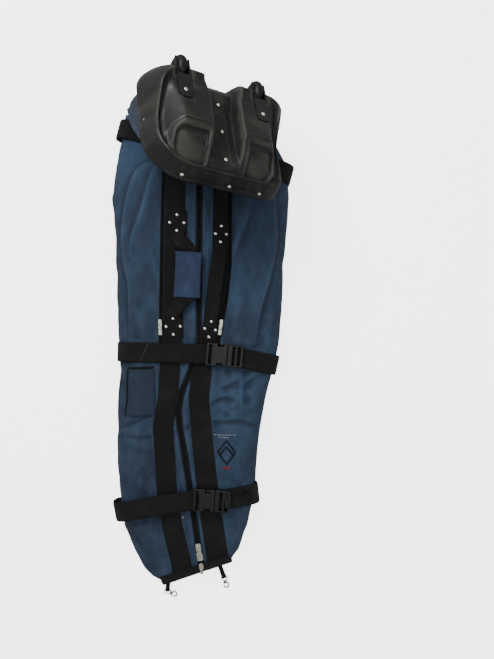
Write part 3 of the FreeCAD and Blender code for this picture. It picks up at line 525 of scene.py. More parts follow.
def plastic_finish(name, base, scuffed, dust, grain, rough, amount=1.0):
    """Moulded plastic: fine grain, long and short pale scuffs, dust in patches."""
    f = Finish(name, base[:3], rough, specular=0.26)
    solid = f.place(False)
    patches = f.range(f.noise(solid, 9.0, 6.0), 0.42, 0.72, 0.0, 0.85 * amount)
    scratch_a = f.range(f.noise(solid, 60.0, 4.0, (1.0, 7.0, 2.0)), 0.63, 0.72, 0.0, 0.5 * amount)
    scratch_b = f.range(f.noise(solid, 75.0, 4.0, (6.0, 1.0, 1.4)), 0.64, 0.74, 0.0, 0.4 * amount)
    tone = f.mix(patches, base, dust)
    tone = f.mix(scratch_a, tone, scuffed)
    tone = f.mix(scratch_b, tone, scuffed)
    wear_and_shade = f.node("Attribute", "Fac", attribute_name="wear_and_shade")
    tone = f.mix(f.range(wear_and_shade, 0.5, 1.0, 0.0, 0.8), tone, scuffed)
    f.set("Base Color", tone)
    f.set("Roughness", f.range(f.noise(solid, 22.0, 5.0), 0.3, 0.75, rough - 0.13, rough + 0.16))
    f.set("Normal", f.bump(f.noise(solid, grain, 2.0), 0.35, 0.0006,
                           f.bump(f.noise(solid, 45.0, 4.0), 0.12, 0.002)))
    return f.material


def metal_finish(name, base, dull, rough):
    """Plated metal: dulled in patches, with fine scratches."""
    f = Finish(name, base[:3], rough, metallic=1.0)
    solid = f.place(False)
    f.set("Base Color", f.mix(f.range(f.noise(solid, 180.0, 4.0), 0.4, 0.7, 0.0, 1.0), base, dull))
    f.set("Roughness", f.range(f.noise(solid, 260.0, 3.0), 0.3, 0.7, rough - 0.08, rough + 0.2))
    f.set("Normal", f.bump(f.noise(solid, 500.0, 3.0, (1.0, 6.0, 1.0)), 0.15, 0.0004))
    return f.material


def thread_finish(name, colour):
    """Sewing thread: a twist along it."""
    f = Finish(name, colour[:3], 0.6, specular=0.3)
    solid = f.place(False)
    shaded = tuple(c * 0.6 for c in colour[:3]) + (1.0,)
    f.set("Base Color", f.mix(f.noise(solid, 300.0, 2.0), colour, shaded))
    f.set("Normal", f.bump(f.noise(solid, 900.0, 1.0), 0.5, 0.0005))
    return f.material


FINISHES = {}


def make_finishes(settings):
    """One material for each finish, its colours given as screen values."""
    navy = rgba(*(255 * c for c in settings.cloth_colour))
    FINISHES.update({
        "cloth": cloth_finish("navy_nylon", navy, rgba(58, 79, 104), rgba(22, 34, 51)),
        "wrap": cloth_finish("wrap_nylon", rgba(27, 41, 66), rgba(52, 70, 106), rgba(17, 26, 44)),
        "webbing": webbing_finish("black_webbing_weave", rgba(11, 12, 11), rgba(30, 31, 30)),
        "zip": zip_finish("zip_coil"),
        "base": plastic_finish("grained_black", rgba(17, 18, 17), rgba(54, 54, 50), rgba(32, 32, 30),
                               850.0, 0.52),
        "buckle": plastic_finish("buckle_black", rgba(9, 10, 10), rgba(36, 38, 37), rgba(16, 17, 17), 1200.0,
                                  0.36, 0.5),
        "rubber": plastic_finish("wheel_black", rgba(10, 10, 10), rgba(40, 40, 38), rgba(20, 20, 19),
                                 600.0, 0.45),
        "nickel": metal_finish("rivet_nickel", rgba(226, 227, 214), rgba(170, 170, 156), 0.3),
        "pull": metal_finish("worn_nickel", rgba(196, 194, 182), rgba(128, 124, 112), 0.3),
        "steel": metal_finish("bright_steel", rgba(188, 188, 184), rgba(104, 104, 100), 0.25),
        "thread": thread_finish("navy_thread", rgba(86, 106, 148)),
        "black_thread": thread_finish("black_thread", rgba(12, 12, 14)),
        "pale_thread": thread_finish("pale_thread", rgba(196, 200, 202)),
        "red_thread": thread_finish("red_thread", rgba(176, 26, 40)),
    })


CAD_FINISHES = {
    "buckle": ["mid_socket", "mid_clip", "low_socket", "low_clip", "top_socket", "top_clip", "hub_left",
               "hub_right"],
    "base": ["wheel_bracket_left", "wheel_bracket_right", "base_liner"],
    "nickel": ["handle_rivets", "base_rivets"],
    "pull": ["main_slider", "main_pull", "end_slider", "end_pull", "pocket_left_slider", "pocket_left_pull",
             "pocket_right_slider", "pocket_right_pull"],
    "steel": ["hook_left", "hook_right", "hook_gate_left", "hook_gate_right", "wheel_axles", "bearings_left",
              "bearings_right"],
    "rubber": ["tyre_left", "tyre_right"],
}


def finish_cad_nodes():
    """Gives each hard CAD node that stays in view its finish."""
    for finish, nodes in CAD_FINISHES.items():
        for node in nodes:
            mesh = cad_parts[node].data
            mesh.materials.clear()
            mesh.materials.append(FINISHES[finish])


# ---------------------------------------------------------------- cloth pieces

def wear_and_shade_attribute(mesh, values):
    """Stores how worn or shaded each point is: 0 deep in a fold, where the cloth finish paints shade, 0.5 on
    plain cloth, 1 on a worn ridge.
    """
    layer = mesh.attributes.new("wear_and_shade", "FLOAT", "POINT")
    layer.data.foreach_set("value", np.clip(values, 0, 1).astype(np.float32).ravel())


def build_cloth(settings):
    """Navy body: the stadium loft, its simulated swelling, then folds and sewn lines on the front."""
    rows, columns = 150, 62
    rough = body_grid(rows, columns)
    shift = np.zeros_like(rough)
    shift = simulate(rough, settings)
    shift = np.stack([blurred(shift[..., i], 2) for i in range(3)], -1)
    fine = body_grid(Cloth.rows, Cloth.columns)
    over = fine.shape[1]
    half = Cloth.columns

    def enlarge(part, across_to, across_from):
        """Straight-line enlargement of a coarse grid of shifts to the fine grid."""
        to, given = np.linspace(0, 1, Cloth.rows), np.linspace(0, 1, rows)
        tall = np.stack([np.stack([np.interp(to, given, part[:, j, i]) for j in range(part.shape[1])], 1)
                         for i in range(3)], -1)
        return np.stack([np.stack([np.interp(across_to, across_from, row) for row in tall[:, :, i]])
                         for i in range(3)], -1)

    front = enlarge(shift[:, :columns], spread(half), spread(columns))
    under = np.concatenate((shift[:, columns - 1:], shift[:, :1]), axis=1)
    under = enlarge(under, 1 - spread(half)[::-1], 1 - spread(columns)[::-1])
    moved = fine.copy()
    moved[:, :half] += np.stack([blurred(front[..., i], 2) for i in range(3)], -1)
    moved[:, half:] += under[:, 1:-1]
    moved[..., 2] = np.maximum(moved[..., 2], 0.0)
    x, y = moved[:, :half, 0], moved[:, :half, 1]
    s = spread(half)[None, :]
    inner = ease(0, 0.05, s) * ease(0, 0.05, 1 - s)
    rise = folds(x, y, settings.fold_strength) * inner + details(x, y)
    rise *= ease(0, 0.02, np.linspace(0, 1, Cloth.rows))[:, None]
    moved[:, :half, 2] += rise
    Cloth.across, Cloth.along = spread(half), lengthwise(Cloth.rows)
    Cloth.height = moved[:, :half, 2]
    girth = np.linalg.norm(np.diff(np.concatenate((moved, moved[:, :1]), 1), axis=1), axis=-1)
    around = np.concatenate((np.zeros((Cloth.rows, 1)), np.cumsum(girth, axis=1)[:, :-1]), 1) / 1000
    uv = np.stack((np.broadcast_to(moved[..., 1] / 1000, around.shape), around), -1)
    mesh = grid_mesh("bag_cloth", placed(moved), wrap=True, uv=uv)
    # Painted shade: folds turn darker; ridges turn a little paler as wear.
    curve = rise - blurred(rise, 14)
    wear_and_shade = np.full((Cloth.rows, over), 0.5)
    wear_and_shade[:, :half] = 0.5 + np.where(curve < 0, curve * 0.5, curve * 0.16)
    wear_and_shade_attribute(mesh, wear_and_shade)
    outward(mesh)
    piece = new_object("bag_cloth", mesh, FINISHES["cloth"], "bag")
    for node in ("back_panel", "front_panel_left", "front_panel_right", "foam_insert"):
        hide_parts(node)
    return piece


def laid(name, line, half_widths, thick, material, rows, columns=11, lift=0.0, sunk=3.0, crown=0.0,
         cover=0.0):
    """A strip that lies on the cloth: its plan is a band along a line, its top follows the front face
    at its own thickness with rounded edges, and its underside is sunk into the cloth."""
    path = resample(line, rows, 3)
    ahead = np.gradient(path, axis=0)
    ahead /= np.linalg.norm(ahead, axis=1)[:, None]
    side = np.stack((-ahead[:, 1], ahead[:, 0]), 1)
    half = np.broadcast_to(np.asarray(half_widths, float), (rows,))[:, None]
    across = np.sin(np.linspace(-1, 1, columns) * math.pi / 2)[None, :]
    plan = path[:, None] + side[:, None] * (across * half)[..., None]
    ground = blurred(Cloth.at(plan[..., 0], plan[..., 1]), 1) + cover
    round_off = np.sqrt(np.clip(1 - np.abs(across) ** 12, 0, 1))
    ends = np.ones((rows, 1))
    ends[[0, -1]] = 0.4
    top = ground + lift + thick * round_off * ends + crown * (1 - across ** 2)
    upper = np.concatenate((plan, top[..., None]), -1)
    lower = np.concatenate((plan, (ground - sunk)[..., None]), -1)
    ring = np.concatenate((upper, lower[:, ::-1]), axis=1)
    run = np.concatenate(([0], np.cumsum(np.linalg.norm(np.diff(path, axis=0), axis=1)))) / 1000
    cross = (across * half) / 1000
    uv_cross = np.concatenate((cross, cross[:, ::-1]), 1)
    uv = np.stack(np.broadcast_arrays(run[:, None], uv_cross), -1)
    mesh = outward(grid_mesh(name, placed(ring), wrap=True, caps=True, uv=uv))
    return new_object(name, mesh, material, "bag")


def build_webbing():
    """Two long webbings, the zip tapes and the identity pocket."""
    web = FINISHES["webbing"]
    left = laid("web_left", WEB_LEFT, 25.5, 2.3, web, 420, 15, cover=0.5)
    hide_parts("webbing_left")
    path = resample(WEB_RIGHT, 420, 3)
    widths = np.interp(-path[:, 1], [-480, 40, 90, 592], [19, 20, 25.5, 28])
    right = laid("web_right", WEB_RIGHT, widths, 2.3, web, 420, 15, cover=0.5)
    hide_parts("webbing_right")
    coil = laid("main_coil", ZIP_LINE, 7.5, 2.6, FINISHES["zip"], 320, crown=0.9)
    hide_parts("main_zip")
    for name, line in (("left", POCKET_LEFT), ("right", POCKET_RIGHT)):
        strip = laid(f"pocket_coil_{name}", line, 4.6, 1.6, FINISHES["zip"], 120, crown=0.5)
        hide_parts(f"pocket_zip_{name}")
    pocket = laid("identity_pocket", [(-148, -84), (-147, -202)], 34, 4.2, FINISHES["cloth"],
                  60, 24, crown=2.0)
    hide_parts("id_pocket")
    # Painted shade: thin black strips stand for the dark gaps along the identity pocket's top and left edges.
    laid("pocket_top_gap_shade", [(-182, -82), (-116, -79)], 3.4, 1.2, web, 24)
    laid("pocket_side_gap_shade", [(-184, -84), (-185, -160), (-189, -203)], 2.4, 1.0, web, 40)


# ---------------------------------------------------------------- straps

ARC_POINTS = 26


def side_path(thick, side_gap, length, end_height, samples=60):
    """Strap's run in its own upright plane: an arc round the bag's side, then on over the front."""
    r = thick / 2 + side_gap
    middle = r + STRAP_THICK / 2
    arc = np.linspace(math.radians(252), math.radians(90), ARC_POINTS)
    turn = np.stack((r + middle * np.cos(arc), np.maximum(thick / 2 + middle * np.sin(arc), 1.3)), 1)
    run = np.linspace(0, 1, samples)[1:]
    start = turn[-1]
    flat = np.stack((start[0] + (length - start[0]) * run, start[1] + (end_height - start[1]) * run), 1)
    return np.concatenate((turn, flat))


STRAPS = {
    "mid": dict(meet=(68, -49), lift=4, turn=-5, left=(-206, -40), right=(188, -76), gaps=(4.5, 4.5)),
    "low": dict(meet=(36, -412), lift=16, turn=-4, left=(-206, -450), right=(140, -402), gaps=(14, 4)),
    "top": dict(meet=(30, 463), lift=4, turn=-17.5, left=(-206, 530), right=(222, 408), gaps=(4.5, 6.5)),
}


def strap(name, anchor, end, side_gap, end_height, ripple):
    """One compression strap as a ribbon in an upright plane from anchor to end."""
    anchor, end = np.array(anchor, float), np.array(end, float)
    run = end - anchor
    length = np.linalg.norm(run)
    run /= length
    flat = side_path(float(thickness(anchor[1])), side_gap, length, end_height)
    over = len(flat) - ARC_POINTS
    flat[ARC_POINTS:, 1] += ripple * np.sin(np.linspace(0, 3 * math.pi, over)) * np.linspace(0.3, 1, over)
    path = np.stack((anchor[0] + run[0] * flat[:, 0], anchor[1] + run[1] * flat[:, 0], flat[:, 1]), 1)
    return ribbon(name, path, (-run[1], run[0], 0), STRAP_WIDTH, STRAP_THICK, FINISHES["webbing"])


def plate(name, x, y, level, turn, low, high, half_width, thick, material, body):
    """Flat plastic plate in a buckle's own frame, from low to high along it, with rounded edges."""
    a = math.radians(turn)
    aim, side = np.array((math.cos(a), math.sin(a), 0)), np.array((-math.sin(a), math.cos(a), 0))
    path = np.array((x, y, level)) + aim * np.linspace(low, high, 8)[:, None]
    return ribbon(name, path, side, 2 * half_width, thick, material, body)


def build_straps():
    """Three compression straps: the fixed side of each and the tail that its clip pulls along."""
    for name, spec in STRAPS.items():
        x, y = spec["meet"]
        angle = math.radians(spec["turn"])
        aim = np.array((math.cos(angle), math.sin(angle)))
        level = float(thickness(y)) + spec["lift"] + 6
        lg, rg = spec["gaps"]
        heel, toe = np.array((x, y)) - aim * 39, np.array((x, y)) + aim * 11
        start = (spec["left"][0] - lg - STRAP_THICK, spec["left"][1])
        left = strap(f"{name}_strap_web", start, heel, lg, level, 0.7)
        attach(left, "bag")
        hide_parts(f"{name}_strap")
        start = (spec["right"][0] + rg + STRAP_THICK, spec["right"][1])
        tail = strap(f"{name}_tail_web", start, toe, rg, level, -0.5)
        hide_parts(f"{name}_strap_tail")
        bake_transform(tail)
        floor = float(thickness(y)) + spec["lift"] + 1.4
        plate(f"{name}_socket_floor", x, y, floor, spec["turn"], -50, -4, 25.5, 2.0, FINISHES["buckle"],
              "bag")
        plate(f"{name}_clip_floor", x, y, floor + 1, spec["turn"], 4, 37, 24, 1.8, FINISHES["buckle"],
              f"{name}_clip")
    a = math.radians(68)
    aim = np.array((math.cos(a), math.sin(a), 0))
    path = np.array((-140.5, -41.5, float(thickness(-41)) + 6.6)) + aim * np.linspace(-27, 27, 12)[:, None]
    ribbon("mid_slide_bar", path, (math.sin(a), -math.cos(a), 0), 5.5, 3.4, FINISHES["buckle"],
           "bag")


# ---------------------------------------------------------------- handles

PATCHES = [(-58, 284, -1, 50), (-68, 24, 1, 50), (52.5, 256, -3, 38), (25, 17, -9, 38)]


def build_patches():
    """Riveted webbing patches over the handles' ends, each with a crossed seam."""
    seams = []
    for i, (x, y, turn, width) in enumerate(PATCHES):
        a = math.radians(turn)
        aim, side = np.array((-math.sin(a), math.cos(a))), np.array((math.cos(a), math.sin(a)))
        ends = [np.array((x, y)) - aim * 30, np.array((x, y)) + aim * 30]
        piece = laid(f"patch_{i}", ends, width / 2, 2.0, FINISHES["webbing"], 26, lift=2.6)
        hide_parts("handle_patches")
        corners = [np.array((x, y)) + aim * u * 26 + side * v * (width / 2 - 4)
                   for u, v in ((-1, -1), (1, 1), (1, -1), (-1, 1), (-1, -1), (1, -1), (1, 1), (-1, 1))]
        seams.append((corners, 4.75))
    stitches("patch_seams", seams, FINISHES["black_thread"], "bag", 3.2, 0.9)


def stitches(name, seams, material, body, pitch, width, level=None):
    """Rows of short threads along plan lines on the cloth or at a level, each a low five-sided dash."""
    dashes = []
    for line, lift in seams:
        line = np.asarray(line, float)
        span = np.linalg.norm(np.diff(line, axis=0), axis=1).sum()
        count = max(2, int(span / pitch))
        points = resample(line, 2 * count)
        a, b = points[0::2], points[1::2]
        dashes.append(np.stack((a, b), 1).reshape(-1, 4))
        dashes[-1] = np.concatenate((dashes[-1], np.full((len(a), 1), lift)), 1)
    rows = np.concatenate(dashes)
    a, b, lift = rows[:, :2], rows[:, 2:4], rows[:, 4]
    d = b - a
    d /= np.maximum(np.linalg.norm(d, axis=1), 1e-9)[:, None]
    side = np.stack((-d[:, 1], d[:, 0]), 1) * width / 2
    za, zb = (Cloth.at(*end.T) + lift if level is None else level + lift for end in (a, b))
    high = width * 0.5

    def point(p, shift, z):
        return np.concatenate((p + shift, z[:, None]), 1)

    sunk = 0.6
    corners = np.stack((point(a, side, za - sunk), point(a, -side, za - sunk), point(b, -side, zb - sunk),
                        point(b, side, zb - sunk), point(a, 0, za + high), point(b, 0, zb + high)), 1)
    faces = np.array([(0, 1, 2, 3), (0, 3, 5, 4), (1, 4, 5, 2)])
    ends = np.array([(0, 4, 1), (3, 2, 5)])
    base = (np.arange(len(rows)) * 6)[:, None, None]
    mesh = bpy.data.meshes.new(name)
    mesh.from_pydata(placed(corners.reshape(-1, 3)).tolist(), [],
                     (faces + base).reshape(-1, 4).tolist() + (ends + base).reshape(-1, 3).tolist())
    outward(mesh)
    return new_object(name, mesh, material, body, smooth=False)


def build_handles():
    """Left handle with its wrap, lying towards the zip, and the right handle flat along its webbing."""
    web = FINISHES["webbing"]
    ground = float(thickness(154))
    frame_x, frame_y = np.array((0.99881, -0.04885)), np.array((0.04885, 0.99881))
    middle = np.array((-63.5, 154.0))

    def spot(x, y, z):
        p = middle + frame_x * x + frame_y * y
        return (p[0], p[1], ground + 8 + z)

    run = [spot(34, y, 11) for y in np.linspace(-66, 66, 30)]
    grip = ribbon("left_grip_web", run, (1, 0, 0), HANDLE_WIDTH, 3.0, web, "handle_left")
    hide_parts("handle_left_grip")
    around = np.linspace(0, 2 * math.pi, 49)[:-1]
    along = np.linspace(-1, 1, 70)
    flare = 1 + 0.05 * np.abs(along) ** 6
    x = 34 + 32.5 * np.sign(np.cos(around)) * np.abs(np.cos(around)) ** 0.4 * flare[:, None]
    z = 10.5 + 5.6 * np.sign(np.sin(around)) * np.abs(np.sin(around)) ** 0.55
    z = z + 0.8 * waves(x, along[:, None] * 58, 12, 40)
    z -= 0.9 * np.exp(-((x - 34 - 24) / 1.6) ** 2) * (np.sin(around) > 0)
    z -= 0.9 * np.exp(-((x - 34 + 25) / 1.6) ** 2) * (np.sin(around) > 0)
    y = np.broadcast_to(along[:, None] * 57, x.shape)
    plan = middle + frame_x * x[..., None] + frame_y * y[..., None]
    points = np.concatenate((plan, (ground + 8 + z)[..., None]), -1)
    ring = np.concatenate(([0], np.cumsum(np.linalg.norm(np.diff(points[35], axis=0), axis=1)))) / 1000
    uv = np.stack(np.broadcast_arrays(along[:, None] * 0.057, ring[None, :]), -1)
    mesh = outward(grid_mesh("wrap_cloth", placed(points), wrap=True, caps=True, uv=uv))
    wear_and_shade_attribute(mesh, np.broadcast_to(0.5 + 0.35 * (np.abs(np.cos(around)) > 0.97), x.shape))
    wrap = new_object("wrap_cloth", mesh, FINISHES["wrap"], "handle_left")
    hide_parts("handle_wrap")
    box = [spot(34 + u * 27, v * 52, 0)[:2] for u, v in ((-1, -1), (1, -1), (1, 1), (-1, 1), (-1, -1))]
    stitches("wrap_seams", [(box, 0.0)], FINISHES["thread"], "handle_left", 3.2, 0.8,
             level=ground + 24.0)

    half_turn, turn = np.linspace(0, math.pi, 26), np.linspace(0, 2 * math.pi, 26)
    for name, near, yaw, twist, (x0, y0), (x1, y1) in (
            ("upper_bight", [(-58, 262, 5.4), (-58, 250, 9), (-52, 240, 14), (-42, 232, 18), (-33, 222, 18.5),
                             (-31, 214, 19)], 0.5, 0.35, (-58, 258), (-36, 222)),
            ("lower_bight", [(-68, 46, 5.4), (-67, 58, 9), (-60, 70, 15), (-50, 82, 18.5), (-38, 92, 18.5),
                             (-33, 100, 19)], -0.5, 0.3, (-68, 50), (-40, 92))):
        path = [(x, y, float(thickness(y)) + z) for x, y, z in resample(near, 26, 2)]
        across = np.stack((np.ones(26), yaw * np.sin(half_turn), twist * np.sin(turn)), 1)
        piece = ribbon(name, path, across, HANDLE_WIDTH, 2.4, web)
        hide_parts("handle_left_ends")
        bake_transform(piece)

    path = resample([(25, 20), (28, 50), (39, 134), (51, 222), (52.5, 252)], 80, 4)
    share = np.linspace(0, 1, 80)
    arch = 5.2 + 14 * np.sin(math.pi * np.clip((share - 0.1) / 0.8, 0, 1)) ** 0.8
    body = np.concatenate((path, (thickness(path[:, 1]) + arch)[:, None]), 1)
    lows, mids, highs = body[:24], body[20:60], body[56:]
    centre = ribbon("right_grip_web", mids, (0.99, -0.13, 0), 37, 2.8, web, "handle_right")
    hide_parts("handle_right_grip")
    for name, part, sign in (("right_low_bight", lows, 1), ("right_high_bight", highs, -1)):
        piece = ribbon(name, part - (0, 0, 0.7), (0.99, -0.13, 0), 36.5, 2.4, web)
        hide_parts("handle_right_ends")
        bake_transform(piece)


# ---------------------------------------------------------------- foot

def build_foot():
    """Black binding round the slanted foot, the two loops under it and the strap keeper."""
    web = FINISHES["webbing"]
    left, right = np.array((-98.0, -640.0)), np.array((78.0, -580.0))
    share = np.linspace(0, 1, 80)
    line = left + (right - left) * share[:, None]
    around = np.linspace(math.radians(-100), math.radians(100), 20)
    inward = np.array((-(right - left)[1], (right - left)[0]))
    inward /= np.linalg.norm(inward)
    top = Cloth.at(line[:, 0] + inward[0] * 24, line[:, 1] + inward[1] * 24)
    mid = (top + 1.5) / 2
    depth = 21 - 21 * np.cos(around)
    up = np.sin(around)
    plan = line[:, None] + inward * (depth[None, :, None] - 2.5)
    z = mid[:, None] + (mid[:, None] + 1.4) * np.sign(up) * np.abs(up) ** 0.7
    z = np.maximum(z, 2.3)
    points = np.concatenate((plan, z[..., None]), -1)
    run = share * 0.186
    uv = np.stack(np.broadcast_arrays(run[:, None], (around * 0.02)[None, :]), -1)
    mesh = grid_mesh("foot_binding", placed(points), uv=uv)
    binding = new_object("foot_binding", mesh, web, "bag")
    skin = binding.modifiers.new("thickness", "SOLIDIFY")
    skin.thickness = 0.002
    skin.offset = -1
    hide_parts("end_band")
    reach = 26
    for i, (x, y, turn) in enumerate(((-88, -642, 176), (50, -609, 200))):
        a = math.radians(turn)
        aim = np.array((-math.sin(a), math.cos(a)))
        far = [(-12, 8), (0, 8.6), (14, 9.4), (reach - 3, 9.6), (reach - 0.6, 7), (reach - 0.6, 4.4),
               (reach - 3, 2.2), (14, 2.0), (0, 2.2), (-12, 3)]
        flat = resample(far, 60, 2)
        path = np.stack((x + aim[0] * flat[:, 0], y + aim[1] * flat[:, 0], 3 + flat[:, 1]), 1)
        piece = ribbon(f"foot_loop_web_{i}", path, (aim[1], -aim[0], 0), 11, 1.9, web, "bag")
        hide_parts("foot_loops")
    for name, (x, y), turn, swing in (("left", (-88, -642), 176, 72), ("right", (50, -609), 200, -4)):
        root, lean = math.radians(turn), math.radians(turn + swing)
        ahead = np.array((-math.sin(lean), math.cos(lean), 0))
        side = np.array((math.cos(lean), math.sin(lean), 0))
        eye = np.array((x - math.sin(root) * 25, y + math.cos(root) * 25, 8))
        run = np.array([(6.4, 0.6), (6.6, 3.0), (7.4, 4.2), (9.4, 4.2), (10.2, 2.8), (11.2, 2.8), (12.0, 3.8),
                        (14.0, 3.4), (15.4, 1.6), (15.5, 0.4)])
        ring = np.linspace(0, 2 * math.pi, 29)[:-1]
        points = (eye + ahead * run[:, 0, None, None] + side * (run[:, 1, None] * np.cos(ring))[..., None]
                  + np.array((0, 0, 1)) * (run[:, 1, None] * np.sin(ring))[..., None])
        mesh = outward(grid_mesh(f"hook_barrel_{name}", placed(points), wrap=True, caps=True))
        new_object(f"hook_barrel_{name}", mesh, FINISHES["steel"], f"hook_{name}")
    path = [(118 + 10 * math.cos(t) * 0.35, -401, float(thickness(-401)) + 13 + 11 * math.sin(t))
            for t in np.linspace(-0.5 * math.pi, 1.5 * math.pi, 40)]
    keeper = ribbon("strap_keeper", path, (0, 1, 0), 15, 1.8, web, "bag")
    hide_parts("low_keeper")


# ---------------------------------------------------------------- stitched mark

def build_emblem():
    """Generic stitched mark: a lozenge with a chevron in dark thread, a red bar and pale dashes."""
    lozenge = [(66, -262), (90, -294), (66, -326), (42, -294), (66, -262)]
    chevron = [(48, -300), (66, -278), (84, -300)]
    dark = [(lozenge, 0.5), ([(p[0] * 0.86 + 9.2, p[1] * 0.86 - 41.2) for p in lozenge], 0.5), (chevron, 0.5),
            ([(48, -304), (66, -282), (84, -304)], 0.5)]
    mark = stitches("emblem_lines", dark, FINISHES["black_thread"], "bag", 1.4, 2.6)
    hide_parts("emblem_patch")
    red = [([(58, -332 - 1.5 * i), (76, -331 - 1.5 * i)], 0.5) for i in range(4)]
    stitches("emblem_bar", red, FINISHES["red_thread"], "bag", 2.0, 1.7)
    pale = [([(x, y), (x + 3, y + 0.3)], 0.8) for y, low, high in ((-250, 36, 92), (-256, 46, 74))
            for x in range(low, high, 7)]
    stitches("emblem_dashes", pale, FINISHES["pale_thread"], "bag", 3.0, 2.3)


def build_seams():
    """Top-stitching beside the zip, along the webbings, round the pocket and on the panels."""
    seams = []
    for line, gaps in ((ZIP_LINE, (-13, 13)), (WEB_LEFT, (-23, 23)), (WEB_RIGHT, (-17.5, 17.5))):
        path = resample(line, 90, 3)
        ahead = np.gradient(path, axis=0)
        ahead /= np.linalg.norm(ahead, axis=1)[:, None]
        side = np.stack((-ahead[:, 1], ahead[:, 0]), 1)
        for gap in gaps:
            lift = 0.3 if line is ZIP_LINE else 2.4
            seams.append((path + side * gap, lift))
    blue, black = seams[:2], seams[2:]
    box = [(-178, -92), (-118, -90), (-120, -196), (-178, -197), (-178, -92)]
    blue += [(box, 4.2), ([(-192, -508), (-150, -512), (-92, -500)], 0.3),
             ([(-182, -516), (-150, -521), (-92, -509)], 0.3),
             ([(-178, -560), (-140, -566), (-90, -552)], 0.3)]
    stitches("navy_seams", blue, FINISHES["thread"], "bag", 3.4, 0.7)
    stitches("black_seams", black, FINISHES["black_thread"], "bag", 3.4, 0.8)
    tack = [([(-50 + i, -466), (-49 + i, -460)], 0.5) for i in range(0, 8, 2)]
    stitches("bar_tack", tack, FINISHES["pale_thread"], "bag", 1.5, 1.0)


# ---------------------------------------------------------------- moulded base

YAW, ROLL, PITCH = (math.radians(v) for v in (-7, 30, -28))
TURN = np.array(Matrix.Rotation(YAW, 3, "Z") @ Matrix.Rotation(ROLL, 3, "Y") @ Matrix.Rotation(PITCH, 3, "X"))
BASE_AT = np.array([24.0, 477.0, 200.0])


def based(points):
    """Points of the base's own frame to the bag's frame, in millimetres."""
    return np.asarray(points, float) @ TURN.T + BASE_AT


def rounded_box(angle, low, high, radii):
    """Points of a rounded rectangle's outline at directions from its middle, found by marching each
    direction out to the edge. radii: front left, front right, back right, back left."""
    middle, half = (np.array(low) + high) / 2, (np.array(high) - low) / 2
    dx, dy = np.cos(angle), np.sin(angle)
    near, far = np.zeros(angle.shape), np.full(angle.shape, 400.0)
    for _ in range(40):
        r = (near + far) / 2
        inside = box_depth(middle[0] + r * dx, middle[1] + r * dy, low, high, radii) > 0
        near, far = np.where(inside, r, near), np.where(inside, far, r)
    return middle[0] + near * dx, middle[1] + near * dy


def box_depth(x, y, low, high, radii):
    """Depth inside a rounded rectangle, negative outside."""
    middle, half = (np.array(low) + high) / 2, (np.array(high) - low) / 2
    px, py = x - middle[0], y - middle[1]
    r = np.where(px > 0, np.where(py > 0, radii[2], radii[1]), np.where(py > 0, radii[3], radii[0]))
    qx, qy = np.abs(px) - half[0] + r, np.abs(py) - half[1] + r
    outside = np.hypot(np.maximum(qx, 0), np.maximum(qy, 0))
    return r - outside - np.minimum(np.maximum(qx, qy), 0)


RIM = ((-168, -165), (168, 125), (95, 40, 50, 60))
RIDGE = ((-148, -161), (153, 64), (78, 30, 34, 60))
PADS = (((-116, -150), (-44, -88), (40, 5, 5, 12)), ((56, -150), (124, -88), (5, 26, 8, 5)))


def underside(x, y):
    """Height of the moulded underside: two lobes high at the back and falling to the front, a valley
    between them, a dished band inside the bead, and a sunk pad near each front corner."""
    ridge = 49 + 46 * ease(-60, 45, y)
    plateau = 95 - 40 * np.clip((-80 - y) / 78, 0, 1) - 1.5 * ease(-60, -90, y)
    depth = box_depth(x, y, *RIDGE)
    rise = ease(3, 50, depth)
    dish = -5.5 * np.exp(-((depth - 14) / 8) ** 2) * (1 - ease(20, 60, y))
    bead = 3.2 * np.exp(-((depth - 2.5) / 2.6) ** 2)
    z = ridge + (plateau - ridge) * rise + dish + bead
    valley = 1 - ease(0, 9, np.abs(x - 2) - 30 - 9 * ease(0, 64, y))
    floor = 57 + 1.2 * np.exp(-((np.abs(x - 2) - 16) / 2.5) ** 2)
    z = np.where(z > floor, z + (floor - z) * valley, z)
    for low, high, radii in PADS:
        depth = box_depth(x, y, low, high, radii)
        z = z + 2.2 * np.exp(-((depth + 5) / 3.4) ** 2) - 10.5 * ease(-0.5, 3.5, depth)
        z = z + 1.6 * np.exp(-((depth + 17) / 2.4) ** 2) * (np.abs(x) > 38)
    return z


